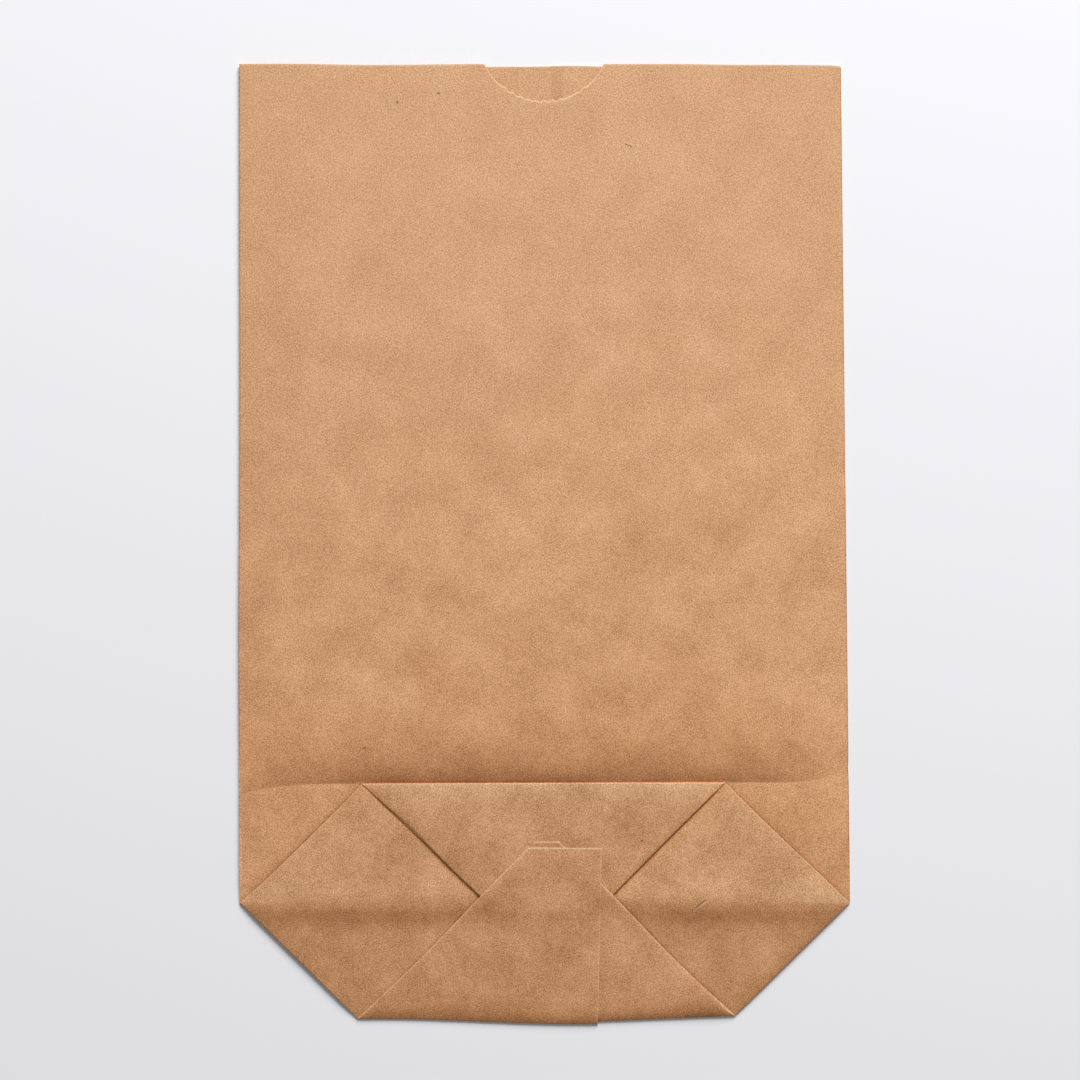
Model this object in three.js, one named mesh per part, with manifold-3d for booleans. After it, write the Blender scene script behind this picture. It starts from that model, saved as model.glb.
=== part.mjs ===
// Brown paper bag with a cross-folded base, empty, lying flat on its back.
//
// It is one sheet of paper. The sheet is glued into a tube along a lap seam in the back wall and
// creased flat. The tube's lower end is opened out and pressed down, which makes a square on its
// corner at each side, and two flaps are folded over the squares: one down from above and one up
// from below. Together they close the tube with a six-sided base that lies on the front wall.
// The front wall has a toothed thumb notch at the mouth.
//
// Millimetres, +Z up, +Y towards the mouth, the back wall on Z = 0, the origin under the middle.

import * as THREE from 'three';
import { mergeVertices } from 'three/addons/utils/BufferGeometryUtils.js';
import Module from 'manifold-3d';

const wasm = await Module();
wasm.setup();

// Driving dimensions: the flat bag
const WIDTH = 165;
const LENGTH = 260;
const PAPER = 0.1;
const AIR = 0.3; // between two plies that lie on each other
const PRESS = 0.02; // a fold is thinner than its plies by this much on each face
const GLUE = 0.02; // two glued plies are pressed into each other by this much

// The crown that the springy side creases give the front wall
const CROWN = 4.8;
const CROWN_FULLNESS = 3; // power of the crown's section, 2 is a parabola
const CROWN_RISE = 40; // run from the base to the full crown
const CROWN_EASE = 3.5; // power of that rise, steepest at the base

// The base: its centre line joins the two outer corners of the squares
const BASE_UPPER = 33; // centre line to the fold of the upper flap
const BASE_LOWER = 31.5; // centre line to the fold of the lower flap
const FLAP_TIP = 8; // width left at a flap's cut end
const BASE_STEP = 9; // run over which a ply comes down past the edge of a ply below it

// The lap seam, from the left wall's free edge back under it
const SEAM_EDGE = 15; // right of the middle
const SEAM_LAP = 21;
const SEAM_RELAX = 4; // run over which the inner ply comes down beside the seam
const SEAM_LAG = 1.5; // the inner ply reaches this much further at the flap's cut end
const SEAM_SLIP = 0.8; // the inner ply's base fold lies this far inside the outer one's

// The thumb notch
const NOTCH_WIDTH = 33;
const NOTCH_DEPTH = 9.8;
const NOTCH_SHIFT = 1; // right of the middle
const TOOTH_PITCH = 2.2;
const TOOTH_DEPTH = 0.35;

// Smoothness of the mesh and the run by which a fold's ends reach into its plies
const FOLD_STEPS = 4;
const CROWN_COLUMNS = 20;
const RISE_ROWS = 8;
const STEP_ROWS = 6;
const REACH = 0.6;
const CORNER = 1.5; // folds stop this far short of a corner where they meet

// Places that follow from the driving dimensions
const HALF = WIDTH / 2;
const MOUTH_Y = LENGTH / 2;
const FOLD_Y = -LENGTH / 2;
const CENTRE_Y = FOLD_Y + BASE_LOWER;
const TOP_Y = CENTRE_Y + BASE_UPPER;
const TAIL = (WIDTH - FLAP_TIP) / 2; // length of the tube past the centre line
const UPPER_END_Y = TOP_Y - (TAIL - BASE_UPPER);
const LOWER_END_Y = FOLD_Y + (TAIL - BASE_LOWER);
const INNER_END_Y = LOWER_END_Y + SEAM_LAG;
const INNER_FOLD_Y = FOLD_Y + SEAM_SLIP;
const SEAM_INNER_EDGE = SEAM_EDGE - SEAM_LAP;
const PITCH = PAPER + AIR; // from one ply to the next

// A share from 0 to 1 that leaves 0 steeply at one place and eases into 1 at another
function easeUp(value, from, to, power) {
  const done = THREE.MathUtils.clamp((value - from) / (to - from), 0, 1);
  return 1 - (1 - done) ** power;
}

// A ply that lies over the edge of others, at a place, comes down in front of that edge
const overEdge = (y, edgeY) => 2 * PITCH * (1 - easeUp(y, edgeY, edgeY - BASE_STEP, 2));

// Height of each ply's underside. A ply lies one pitch above the plies that are under it there.
const backLevel = () => 0;
const frontLevel = () => PAPER + PITCH;
const turnedLevel = () => frontLevel() + PITCH;
const squareLevel = (y) => frontLevel() + overEdge(y, CENTRE_Y);
const upperTuckLevel = (y) => squareLevel(y) + PITCH;
const upperFlapLevel = (y) => upperTuckLevel(y) + PITCH;
const lowerTuckLevel = (y) => squareLevel(y) + PITCH + overEdge(y, UPPER_END_Y);
const innerFlapLevel = (y) => lowerTuckLevel(y) + PITCH;
const outerFlapLevel = (y) => innerFlapLevel(y) + PAPER - GLUE;

// Radius of the round fold between two plies, to the outside of the paper
const foldRadius = (lower, upper, y) => (upper(y) + PAPER - lower(y)) / 2;

// Distance from a fold's outside to the edge of the flat plies that its ends reach into, and the
// same distance along X where the fold runs at 45 degrees
const plyInset = (lower, upper, y) => foldRadius(lower, upper, y) + REACH / 2;
const slantInset = (lower, upper, y) => plyInset(lower, upper, y) * Math.SQRT2;

const point = (x, y, z) => new THREE.Vector3(x, y, z);
const linspace = (from, to, steps) =>
  Array.from({ length: steps + 1 }, (_, i) => from + ((to - from) * i) / steps);

// Rows of Y from one place to another that follow every step in the base's plies
function baseRows(from, to) {
  const rows = [
    from,
    to,
    ...linspace(CENTRE_Y - BASE_STEP, CENTRE_Y, STEP_ROWS),
    ...linspace(UPPER_END_Y - BASE_STEP, UPPER_END_Y, STEP_ROWS),
  ];
  const inside = rows.filter((y) => y >= from && y <= to).sort((a, b) => a - b);
  return inside.filter((y, i) => i === 0 || y - inside[i - 1] > PAPER || y === to);
}

function solidOf(geometry) {
  geometry.deleteAttribute('normal');
  geometry.deleteAttribute('uv');
  const { attributes, index } = mergeVertices(geometry, 1e-5);
  const vertProperties = new Float32Array(attributes.position.array);
  const triVerts = new Uint32Array(index.array);
  return new wasm.Manifold(new wasm.Mesh({ numProp: 3, vertProperties, triVerts }));
}

function signedVolume(points, triangles) {
  let volume = 0;
  for (let i = 0; i < triangles.length; i += 3) {
    const [a, b, c] = triangles.slice(i, i + 3).map((k) => points[k]);
    volume += a.dot(b.clone().cross(c)) / 6;
  }
  return volume;
}

// A closed strip of paper. Each station holds the points of its two faces, in the same order.
function paperStrip(stations) {
  const across = stations[0].inside.length;
  const around = 2 * across;
  const points = stations.flatMap(({ inside, outside }) => [...inside, ...outside.toReversed()]);
  const triangles = [];
  const quad = (a, b, c, d) => triangles.push(a, b, c, a, c, d);
  for (let s = 0; s < stations.length - 1; s++) {
    for (let k = 0; k < around; k++) {
      const next = (k + 1) % around;
      quad(s * around + k, s * around + next, (s + 1) * around + next, (s + 1) * around + k);
    }
  }
  const last = (stations.length - 1) * around;
  for (let k = 0; k < across - 1; k++) {
    const opposite = around - 1 - k;
    quad(k, opposite, opposite - 1, k + 1);
    quad(last + k, last + k + 1, last + opposite - 1, last + opposite);
  }
  if (signedVolume(points, triangles) < 0) triangles.reverse();
  const geometry = new THREE.BufferGeometry().setFromPoints(points);
  geometry.setIndex(triangles);
  return solidOf(geometry);
}

// A flat ply: at each row it runs through a few places across, each an X and a height
function ply(rows, places) {
  return paperStrip(
    rows.map((y) => ({
      inside: places(y).map(([x, z]) => point(x, y, z + PAPER)),
      outside: places(y).map(([x, z]) => point(x, y, z)),
    })),
  );
}

// A round fold along a line of points, from a lower ply to an upper one. The outermost line of
// the fold is the line given, and outward is the way that the fold faces.
function fold(line, outward, lower, upper) {
  const stations = line.map((onLine) => {
    const inset = foldRadius(lower, upper, onLine.y);
    const centre = onLine.clone().addScaledVector(outward, -inset);
    const end = centre.clone().addScaledVector(outward, -REACH);
    const radius = foldRadius(lower, upper, centre.y);
    const middle = lower(centre.y) + radius;
    const arc = (r) =>
      linspace(-Math.PI / 2, Math.PI / 2, FOLD_STEPS).map((angle) => {
        const place = centre.clone().addScaledVector(outward, r * Math.cos(angle));
        return point(place.x, place.y, middle + r * Math.sin(angle));
      });
    const outer = radius - PRESS;
    const inner = radius - PAPER + PRESS;
    const face = (r) => [
      point(end.x, end.y, lower(end.y) + radius - r),
      ...arc(r),
      point(end.x, end.y, upper(end.y) + PAPER - radius + r),
    ];
    return { inside: face(inner), outside: face(outer) };
  });
  return paperStrip(stations);
}

// A fold straight across the bag
function crossFold(fromX, toX, y, facing, lower, upper) {
  const line = [new THREE.Vector2(fromX, y), new THREE.Vector2(toX, y)];
  return fold(line, new THREE.Vector2(0, facing), lower, upper);
}

// A fold at 45 degrees, where side is -1 on the left and 1 on the right. It starts near its outer
// corner, at startY, and leans inwards on its way to endY.
function slantFold(side, startX, startY, endY, lower, upper, outwardY) {
  const firstY = startY + CORNER * Math.sign(endY - startY);
  const rows = baseRows(Math.min(firstY, endY), Math.max(firstY, endY));
  const line = rows.map((y) => new THREE.Vector2(side * (startX - Math.abs(y - startY)), y));
  return fold(line, new THREE.Vector2(side, outwardY).normalize(), lower, upper);
}

// Half the width between the slanted edges of each ply at a height y, to the folds' outside
const baseHalfWidth = (y) => HALF - Math.abs(y - CENTRE_Y);
const upperFlapHalfWidth = (y) => HALF - BASE_UPPER - (TOP_Y - y);
const lowerFlapHalfWidth = (y) => HALF - BASE_LOWER - (y - FOLD_Y);

function frontHeight(x, y) {
  const rise = easeUp(y, TOP_Y, TOP_Y + CROWN_RISE, CROWN_EASE);
  const flat = HALF - foldRadius(backLevel, frontLevel, y) - REACH;
  const section = 1 - Math.min(Math.abs(x / flat), 1) ** CROWN_FULLNESS;
  return frontLevel() + CROWN * section * rise;
}

// The back wall: the outer ply comes from the left side, the inner one from the right
function backWall() {
  const edge = (y) =>
    y >= CENTRE_Y
      ? HALF - plyInset(backLevel, frontLevel, y)
      : baseHalfWidth(y) - slantInset(backLevel, squareLevel, y);
  const outerStart = FOLD_Y + plyInset(backLevel, outerFlapLevel, FOLD_Y);
  const innerStart = INNER_FOLD_Y + plyInset(backLevel, innerFlapLevel, INNER_FOLD_Y);
  const outerRows = [...baseRows(outerStart, CENTRE_Y), MOUTH_Y];
  const innerRows = [...baseRows(innerStart, CENTRE_Y), MOUTH_Y];
  const outer = ply(outerRows, (y) => [
    [-edge(y), backLevel()],
    [SEAM_EDGE, backLevel()],
  ]);
  const inner = ply(innerRows, (y) => [
    [SEAM_INNER_EDGE, PAPER - GLUE],
    [SEAM_EDGE, PAPER - GLUE],
    [SEAM_EDGE + SEAM_RELAX, backLevel()],
    [edge(y), backLevel()],
  ]);
  return [outer, inner];
}

// The front wall, cut out for the thumb, and the crease at each side
function frontWall() {
  const flat = HALF - plyInset(backLevel, frontLevel, CENTRE_Y);
  const rows = [
    CENTRE_Y + plyInset(frontLevel, turnedLevel, CENTRE_Y),
    ...linspace(TOP_Y, TOP_Y + CROWN_RISE, RISE_ROWS),
    MOUTH_Y,
  ];
  const columns = linspace(-flat, flat, CROWN_COLUMNS);
  const wall = ply(rows, (y) => columns.map((x) => [x, frontHeight(x, y)]));
  const creases = [-1, 1].map((side) => {
    const line = [CENTRE_Y + CORNER, MOUTH_Y].map((y) => new THREE.Vector2(side * HALF, y));
    return fold(line, new THREE.Vector2(side, 0), backLevel, frontLevel);
  });
  return [wall.subtract(thumbNotch()), ...creases];
}

// The notch is a circle's arc, and its teeth all point along the bag
function thumbNotch() {
  const radius = (NOTCH_WIDTH ** 2 / 4 + NOTCH_DEPTH ** 2) / (2 * NOTCH_DEPTH);
  const centreY = MOUTH_Y - NOTCH_DEPTH + radius;
  const arcY = (x) => centreY - Math.sqrt(radius ** 2 - x ** 2);
  const teeth = Math.round(NOTCH_WIDTH / TOOTH_PITCH);
  const edge = linspace(-NOTCH_WIDTH / 2, NOTCH_WIDTH / 2, 2 * teeth).map(
    (x, i) => new THREE.Vector2(x + NOTCH_SHIFT, arcY(x) + (i % 2 ? 0 : TOOTH_DEPTH)),
  );
  const above = MOUTH_Y + NOTCH_DEPTH;
  const outline = new THREE.Shape([
    ...edge,
    new THREE.Vector2(NOTCH_SHIFT + NOTCH_WIDTH / 2, above),
    new THREE.Vector2(NOTCH_SHIFT - NOTCH_WIDTH / 2, above),
  ]);
  const cutter = new THREE.ExtrudeGeometry(outline, {
    depth: frontLevel() + 2 * CROWN,
    bevelEnabled: false,
  });
  cutter.translate(0, 0, 2 * PAPER + AIR / 2);
  return solidOf(cutter);
}

// The ply that turns up at the centre line and lies on the front wall, under the squares
function turnedPly() {
  const start = CENTRE_Y + plyInset(frontLevel, turnedLevel, CENTRE_Y);
  const end = TOP_Y - plyInset(turnedLevel, upperFlapLevel, TOP_Y);
  const edge = (y) => baseHalfWidth(y) - slantInset(turnedLevel, squareLevel, y);
  const sheet = ply([start, end], (y) => [
    [-edge(y), turnedLevel()],
    [edge(y), turnedLevel()],
  ]);
  const turn = crossFold(-HALF + CORNER, HALF - CORNER, CENTRE_Y, -1, frontLevel, turnedLevel);
  return [sheet, turn];
}

// One of the two squares that lie on their corners, with its slanted folds
function square(side) {
  const tip = HALF - TAIL;
  const edge = (y) =>
    y >= CENTRE_Y
      ? baseHalfWidth(y) - slantInset(turnedLevel, squareLevel, y)
      : baseHalfWidth(y) - slantInset(backLevel, squareLevel, y);
  const upperFoldY = TOP_Y - PITCH;
  const lowerFoldY = INNER_FOLD_Y + PITCH;
  const start = lowerFoldY + plyInset(squareLevel, lowerTuckLevel, FOLD_Y);
  const end = upperFoldY - plyInset(squareLevel, upperTuckLevel, TOP_Y);
  const rows = baseRows(start, end);
  const sheet = ply(rows, (y) => [
    [side * edge(y), squareLevel(y)],
    [side * tip, squareLevel(y)],
  ]);
  const upperEdge = slantFold(side, HALF, CENTRE_Y, TOP_Y - CORNER, turnedLevel, squareLevel, 1);
  const lowerEdge = slantFold(side, HALF, CENTRE_Y, FOLD_Y + CORNER, backLevel, squareLevel, -1);
  const upperTurn = crossFold(
    side * tip,
    side * (HALF - BASE_UPPER - CORNER),
    upperFoldY,
    1,
    squareLevel,
    upperTuckLevel,
  );
  const lowerTurn = crossFold(
    side * tip,
    side * (HALF - BASE_LOWER - CORNER),
    lowerFoldY,
    -1,
    squareLevel,
    lowerTuckLevel,
  );
  return [sheet, upperEdge, lowerEdge, upperTurn, lowerTurn];
}

// The part of a square that is tucked under a flap, and the flap's slanted fold over it
function tuck(side, halfWidth, foldY, endY, cutY, tuckLevel, flapLevel) {
  const tip = HALF - TAIL;
  const facing = Math.sign(foldY - endY);
  const inset = plyInset(tuckLevel, flapLevel, foldY);
  const edge = (y) => halfWidth(y) - slantInset(tuckLevel, flapLevel, y);
  const ends = [foldY - facing * inset, endY + facing * (REACH + 2 * inset)];
  const rows = baseRows(Math.min(...ends), Math.max(...ends));
  const sheet = ply(rows, (y) => [
    [side * edge(y), tuckLevel(y)],
    [side * tip, tuckLevel(y)],
  ]);
  const slant = slantFold(side, halfWidth(foldY), foldY, cutY, tuckLevel, flapLevel, -facing);
  return [sheet, slant];
}

// The upper flap is folded down over the squares
function upperFlap() {
  const start = TOP_Y - plyInset(turnedLevel, upperFlapLevel, TOP_Y);
  const half = HALF - BASE_UPPER;
  const edge = (y) => upperFlapHalfWidth(y) - slantInset(upperTuckLevel, upperFlapLevel, y);
  const sheet = ply(baseRows(UPPER_END_Y, start), (y) => [
    [-edge(y), upperFlapLevel(y)],
    [edge(y), upperFlapLevel(y)],
  ]);
  const turn = crossFold(-half + CORNER, half - CORNER, TOP_Y, 1, turnedLevel, upperFlapLevel);
  const tucks = [-1, 1].flatMap((side) =>
    tuck(
      side,
      upperFlapHalfWidth,
      TOP_Y - PITCH,
      UPPER_END_Y,
      UPPER_END_Y,
      upperTuckLevel,
      upperFlapLevel,
    ),
  );
  return [sheet, turn, ...tucks];
}

// The lower flap is folded up over all the rest, with the seam's two plies on each other
function lowerFlap() {
  const half = HALF - BASE_LOWER;
  const outerStart = FOLD_Y + plyInset(backLevel, outerFlapLevel, FOLD_Y);
  const innerStart = INNER_FOLD_Y + plyInset(backLevel, innerFlapLevel, INNER_FOLD_Y);
  const leftEdge = (y) => lowerFlapHalfWidth(y) - slantInset(lowerTuckLevel, outerFlapLevel, y);
  const rightEdge = (y) => lowerFlapHalfWidth(y) - slantInset(lowerTuckLevel, innerFlapLevel, y);
  const outer = ply(baseRows(outerStart, LOWER_END_Y), (y) => [
    [-leftEdge(y), outerFlapLevel(y)],
    [SEAM_EDGE, outerFlapLevel(y)],
  ]);
  const inner = ply(baseRows(innerStart, INNER_END_Y), (y) => [
    [Math.max(-leftEdge(y), SEAM_INNER_EDGE), innerFlapLevel(y)],
    [rightEdge(y), innerFlapLevel(y)],
  ]);
  const outerTurn = crossFold(
    -half + CORNER,
    SEAM_EDGE,
    FOLD_Y,
    -1,
    backLevel,
    outerFlapLevel,
  );
  const innerTurn = crossFold(
    SEAM_EDGE - SEAM_RELAX,
    half - CORNER,
    INNER_FOLD_Y,
    -1,
    backLevel,
    innerFlapLevel,
  );
  const foldY = INNER_FOLD_Y + PITCH;
  const leftTuck = tuck(
    -1,
    lowerFlapHalfWidth,
    foldY,
    LOWER_END_Y,
    LOWER_END_Y,
    lowerTuckLevel,
    outerFlapLevel,
  );
  const rightTuck = tuck(
    1,
    lowerFlapHalfWidth,
    foldY,
    LOWER_END_Y,
    INNER_END_Y,
    lowerTuckLevel,
    innerFlapLevel,
  );
  return [outer, inner, outerTurn, innerTurn, ...leftTuck, ...rightTuck];
}

function joined(solids) {
  const mesh = solids.reduce((whole, solid) => whole.add(solid)).getMesh();
  const geometry = new THREE.BufferGeometry();
  geometry.setAttribute('position', new THREE.BufferAttribute(mesh.vertProperties, 3));
  geometry.setIndex(new THREE.BufferAttribute(mesh.triVerts, 1));
  const facets = geometry.toNonIndexed();
  facets.computeVertexNormals();
  return facets;
}

const kraft = new THREE.MeshStandardMaterial({ color: 0xcb9d70, roughness: 0.85, metalness: 0 });
const paperBag = new THREE.Mesh(
  joined([
    ...backWall(),
    ...frontWall(),
    ...turnedPly(),
    ...square(-1),
    ...square(1),
    ...upperFlap(),
    ...lowerFlap(),
  ]),
  kraft,
);
paperBag.name = 'paper_bag';

const bag = new THREE.Group();
bag.add(paperBag);

export default bag;
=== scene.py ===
# %% [markdown]
# This lesson dresses one brown paper bag, empty and lying flat on its back. The bag is a single
# sheet: a tube with a glued lap seam, creased at both sides, with its lower end opened out, pressed
# down and closed by two flaps. The imported model is loaded first, because it is the fixed frame that
# everything else is measured against. Its box is kept.

import bpy
import numpy as np
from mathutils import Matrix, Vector, noise


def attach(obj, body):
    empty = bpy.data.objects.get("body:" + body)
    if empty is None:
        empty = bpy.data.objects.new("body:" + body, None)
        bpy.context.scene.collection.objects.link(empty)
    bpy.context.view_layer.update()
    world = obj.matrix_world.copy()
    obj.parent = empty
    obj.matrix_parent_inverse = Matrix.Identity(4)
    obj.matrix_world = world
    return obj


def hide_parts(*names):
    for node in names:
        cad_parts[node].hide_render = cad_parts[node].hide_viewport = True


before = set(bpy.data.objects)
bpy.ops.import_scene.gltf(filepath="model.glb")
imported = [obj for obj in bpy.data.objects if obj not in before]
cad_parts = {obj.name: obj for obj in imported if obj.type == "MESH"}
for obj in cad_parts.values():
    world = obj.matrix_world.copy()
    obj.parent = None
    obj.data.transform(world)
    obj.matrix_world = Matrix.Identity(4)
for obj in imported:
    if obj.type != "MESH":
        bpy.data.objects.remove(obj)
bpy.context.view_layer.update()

# %% [markdown]
# Paper that is folded flat keeps straight lines between a few corners, so the bag's plan is a short
# list of points. They are in millimetres, because paper is thin, and become metres only when the
# vertices are set. Y runs towards the mouth, and -1 and 1 stand for the left and the right side.
# Real bags aren't quite square: this one narrows a little towards the mouth, its base is slightly
# askew, and the lower fold steps up on the right, where the seam's inner ply turns.

# %% Corners of the folded bag
MM = 0.001
PAPER = 0.1
HALF = 82.7
MOUTH = 130.0
CENTRE = -98.5
OUTER = {-1: (-82.6, CENTRE), 1: (83.1, CENTRE)}
SIDE_TOP = {-1: 82.3, 1: 82.35}
UPPER = {-1: (-49.45, -66.2), 1: (49.4, -65.87)}
LOWER = {-1: (-50.6, -129.78), 1: (51.75, -129.0)}
UPPER_TIP = {-1: (-2.0, -111.0), 1: (3.65, -111.0)}
LOWER_TIP = {-1: (-4.1, -83.35), 1: (4.1, -81.72)}
OUTER_EDGE_LOW = (14.5, -131.26)
OUTER_EDGE_HIGH = (15.75, -83.42)
INNER_EDGE = -6.0
INNER_LOW = -130.46
SKEW = -0.0045
print("flat sheet:", 4 * HALF + OUTER_EDGE_LOW[0] - INNER_EDGE, "mm round the tube")

# %% [markdown]
# A fold in paper isn't a knife edge. The two plies meet on the fold's line, turn round a small
# radius and then spring apart, which is what catches the light on the real bag. So every fold here
# knows three things: how far a point lies from its line, how high the line is there, and the fold's
# radius. A ply then settles from its own free height down to each of its folds, first round the
# radius and then over the length of its spring.

# %% How a ply settles at its folds
class Fold:
    def __init__(self, distance, height, radius):
        self.distance = distance
        self.height = height
        self.radius = radius


def smooth(share):
    share = np.clip(share, 0, 1)
    return share * share * (3 - 2 * share)


def rounded(away, radius):
    share = np.minimum(away / radius, 1)
    return np.sqrt(np.clip(1 - (1 - share) ** 2, 0, 1))


def settled(x, y, free, folds):
    ramps = []
    heights = []
    for fold, spring in folds:
        away = np.maximum(fold.distance(x, y), 0)
        height = fold.height(x, y)
        gap = np.maximum(np.abs(free - height), 1e-6)
        share = np.minimum(fold.radius / gap, 1)
        slow = 1 - np.exp(-away / spring)
        ramps.append(share * rounded(away, fold.radius) + (1 - share) * slow)
        heights.append(height)
    everything = np.prod(ramps, axis=0)
    total = everything.copy()
    level = everything * free
    for k, height in enumerate(heights):
        others = [ramp for j, ramp in enumerate(ramps) if j != k]
        weight = (1 - ramps[k]) * (np.prod(others, axis=0) if others else 1)
        total = total + weight
        level = level + weight * height
    return np.where(total < 1e-9, heights[0], level / np.maximum(total, 1e-12))


print("round of a 0.2 mm fold:", rounded(np.array([0, 0.05, 0.1, 0.2]), 0.2).round(2))

# %% [markdown]
# The folds' lines join the corners above. A machine folds the paper over a plate, but the finished
# fold relaxes, and its line bows in by up to a millimetre. So a line has two ends, a side on which
# its ply lies, and a bow: how deep it is, over which share of the line, and how full and how far
# off the middle its curve is. The line gives its own points and the distance of any other point.

# %% Lines of the folds
class CreaseLine:
    def __init__(self, start, end, inward, deep=0.0, reach=1.0, late=1.0, ease=1.0):
        self.start = np.array(start)
        self.along = np.array(end) - self.start
        self.length = float(np.hypot(*self.along))
        self.inward = inward * np.array([-self.along[1], self.along[0]]) / self.length
        self.deep, self.reach, self.late, self.ease = deep, reach, late, ease

    def bow(self, shares):
        part = np.clip(shares / self.reach, 0, 1) ** self.late
        return self.deep * np.maximum(np.sin(np.pi * part), 0) ** self.ease

    def points(self, shares):
        bow = self.bow(shares)
        x = self.start[0] + self.along[0] * shares + self.inward[0] * bow
        y = self.start[1] + self.along[1] * shares + self.inward[1] * bow
        return x, y

    def distance(self, x, y):
        right, up = x - self.start[0], y - self.start[1]
        share = (right * self.along[0] + up * self.along[1]) / self.length ** 2
        return right * self.inward[0] + up * self.inward[1] - self.bow(share)


SQUARE_BOW = {-1: (0.55, 1.0, 1.0, 0.4), 1: (0.22, 1.0, 1.6, 1.0)}
UPPER_FLANK_BOW = {-1: (0.3, 0.55, 1.0, 1.4), 1: (0.13, 0.55, 1.0, 1.4)}
LOWER_FLANK_BOW = {-1: (0.47, 0.78, 1.0, 1.4), 1: (0.48, 0.70, 1.0, 1.4)}
square_line, slant_line, upper_flank_line, lower_flank_line = {}, {}, {}, {}
for side in (-1, 1):
    square_line[side] = CreaseLine(OUTER[side], UPPER[side], side, *SQUARE_BOW[side])
    slant_line[side] = CreaseLine(OUTER[side], LOWER[side], -side)
    upper_flank_line[side] = CreaseLine(UPPER[side], UPPER_TIP[side], -side, *UPPER_FLANK_BOW[side])
    lower_flank_line[side] = CreaseLine(LOWER[side], LOWER_TIP[side], side, *LOWER_FLANK_BOW[side])
print("square's upper edge:", round(square_line[1].length, 1), "mm")

# %% [markdown]
# Where several folds meet in a corner, all the plies are pinched to one point, so each line's height
# runs smoothly to the height of its corners. The side creases have small dents from handling, and
# the lower flap's fold sags a little towards the seam. Here and below, a name that ends in RUN is the
# length over which a shape builds up or fades, in millimetres.

# %% Heights of the folds
CORNER_HEIGHT = {"outer": 0.38, "upper": 0.72, "lower": 0.30}
SIDE_DENTS = {
    -1: ((-25.0, -0.2, 26.0), (42.0, 0.1, 35.0), (1.0, 0.1, 2.5)),
    1: ((-61.8, 0.12, 2.5), (20.0, 0.05, 2.5)),
}
SAG_START = -44.0
SAG_RUN = 53.0
SEAM_SIDE = 15.0


def between(a, b, start, middle, end, reach=4.0):
    def height(x, y):
        from_start = np.hypot(x - a[0], y - a[1])
        from_end = np.hypot(x - b[0], y - b[1])
        level = middle(x, y) if callable(middle) else middle + 0 * x
        near_start = np.exp(-((from_start / reach) ** 2))
        near_end = np.exp(-((from_end / reach) ** 2))
        return level + (start - level) * near_start + (end - level) * near_end

    return height


def upper_line(x):
    (ax, ay), (bx, by) = UPPER[-1], UPPER[1]
    return ay + (by - ay) * (x - ax) / (bx - ax)


def lower_line(x):
    sag = smooth((x - SAG_START) / SAG_RUN)
    outer = LOWER[-1][1] + (OUTER_EDGE_LOW[1] - LOWER[-1][1]) * sag
    rise = np.clip((x - SEAM_SIDE) / (LOWER[1][0] - SEAM_SIDE), 0, 1)
    inner = INNER_LOW + (LOWER[1][1] - INNER_LOW) * rise
    return outer, inner


def side_edge(y, side):
    bottom = abs(OUTER[side][0])
    taper = bottom + (SIDE_TOP[side] - bottom) * (y - CENTRE) / (MOUTH - CENTRE)
    dents = [deep * np.exp(-(((y - place) / wide) ** 2)) for place, deep, wide in SIDE_DENTS[side]]
    return taper - sum(dents)


def under_upper_flap(x, y):
    return np.minimum(upper_flank_line[-1].distance(x, y), upper_flank_line[1].distance(x, y))


def under_lower_flap(x, y):
    return np.minimum(lower_flank_line[-1].distance(x, y), lower_flank_line[1].distance(x, y))


print("lower fold at the middle:", [round(float(line), 2) for line in lower_line(np.array(0.0))])

# %% [markdown]
# The front wall lies low beside the base and starts to rise along a soft crease. In the middle that
# crease runs just above the upper fold. It bends down towards the left side and up at the right one.
# The edge of the base is worked out too, because the wall is pressed down next to it.

# %% Where the front wall starts to rise
CREASE_ABOVE_FOLD, MIDDLE_RUN = 0.25, 4
CREASE_FALL, FALL_LATE = 3.2, 3.5
CREASE_RISE, RISE_LATE = 5.0, 7
LINE_SAMPLES = 60


def rise_start(x):
    left = np.clip((UPPER[-1][0] - x) / (HALF + UPPER[-1][0]), 0, 1)
    right = np.clip((x - UPPER[1][0]) / (HALF - UPPER[1][0]), 0, 1)
    fold = upper_line(np.clip(x, UPPER[-1][0], UPPER[1][0]))
    middle = smooth((UPPER[1][0] - np.abs(x)) / MIDDLE_RUN)
    bend = CREASE_FALL * left ** FALL_LATE
    return fold + CREASE_ABOVE_FOLD * middle - bend + CREASE_RISE * right ** RISE_LATE


def base_edge(x):
    shares = np.linspace(0, 1, LINE_SAMPLES)
    left_x, left_y = square_line[-1].points(shares)
    right_x, right_y = square_line[1].points(shares[::-1])
    return np.interp(x, np.concatenate([left_x, right_x]), np.concatenate([left_y, right_y]))


print("soft crease, from left to right:", rise_start(np.array([-HALF, 0.0, HALF])).round(1), "mm")

# %% [markdown]
# Each ply's free height is where the paper would lie away from its folds. The back wall is on the
# table. The front wall springs up just above the base, where eight plies hold the tube open, and
# comes down slowly to the mouth. Low waves in the sheet, from a noise function with fixed seeds,
# give the cloudy shading of paper that was once rolled. They are weaker near the mouth.

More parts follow.
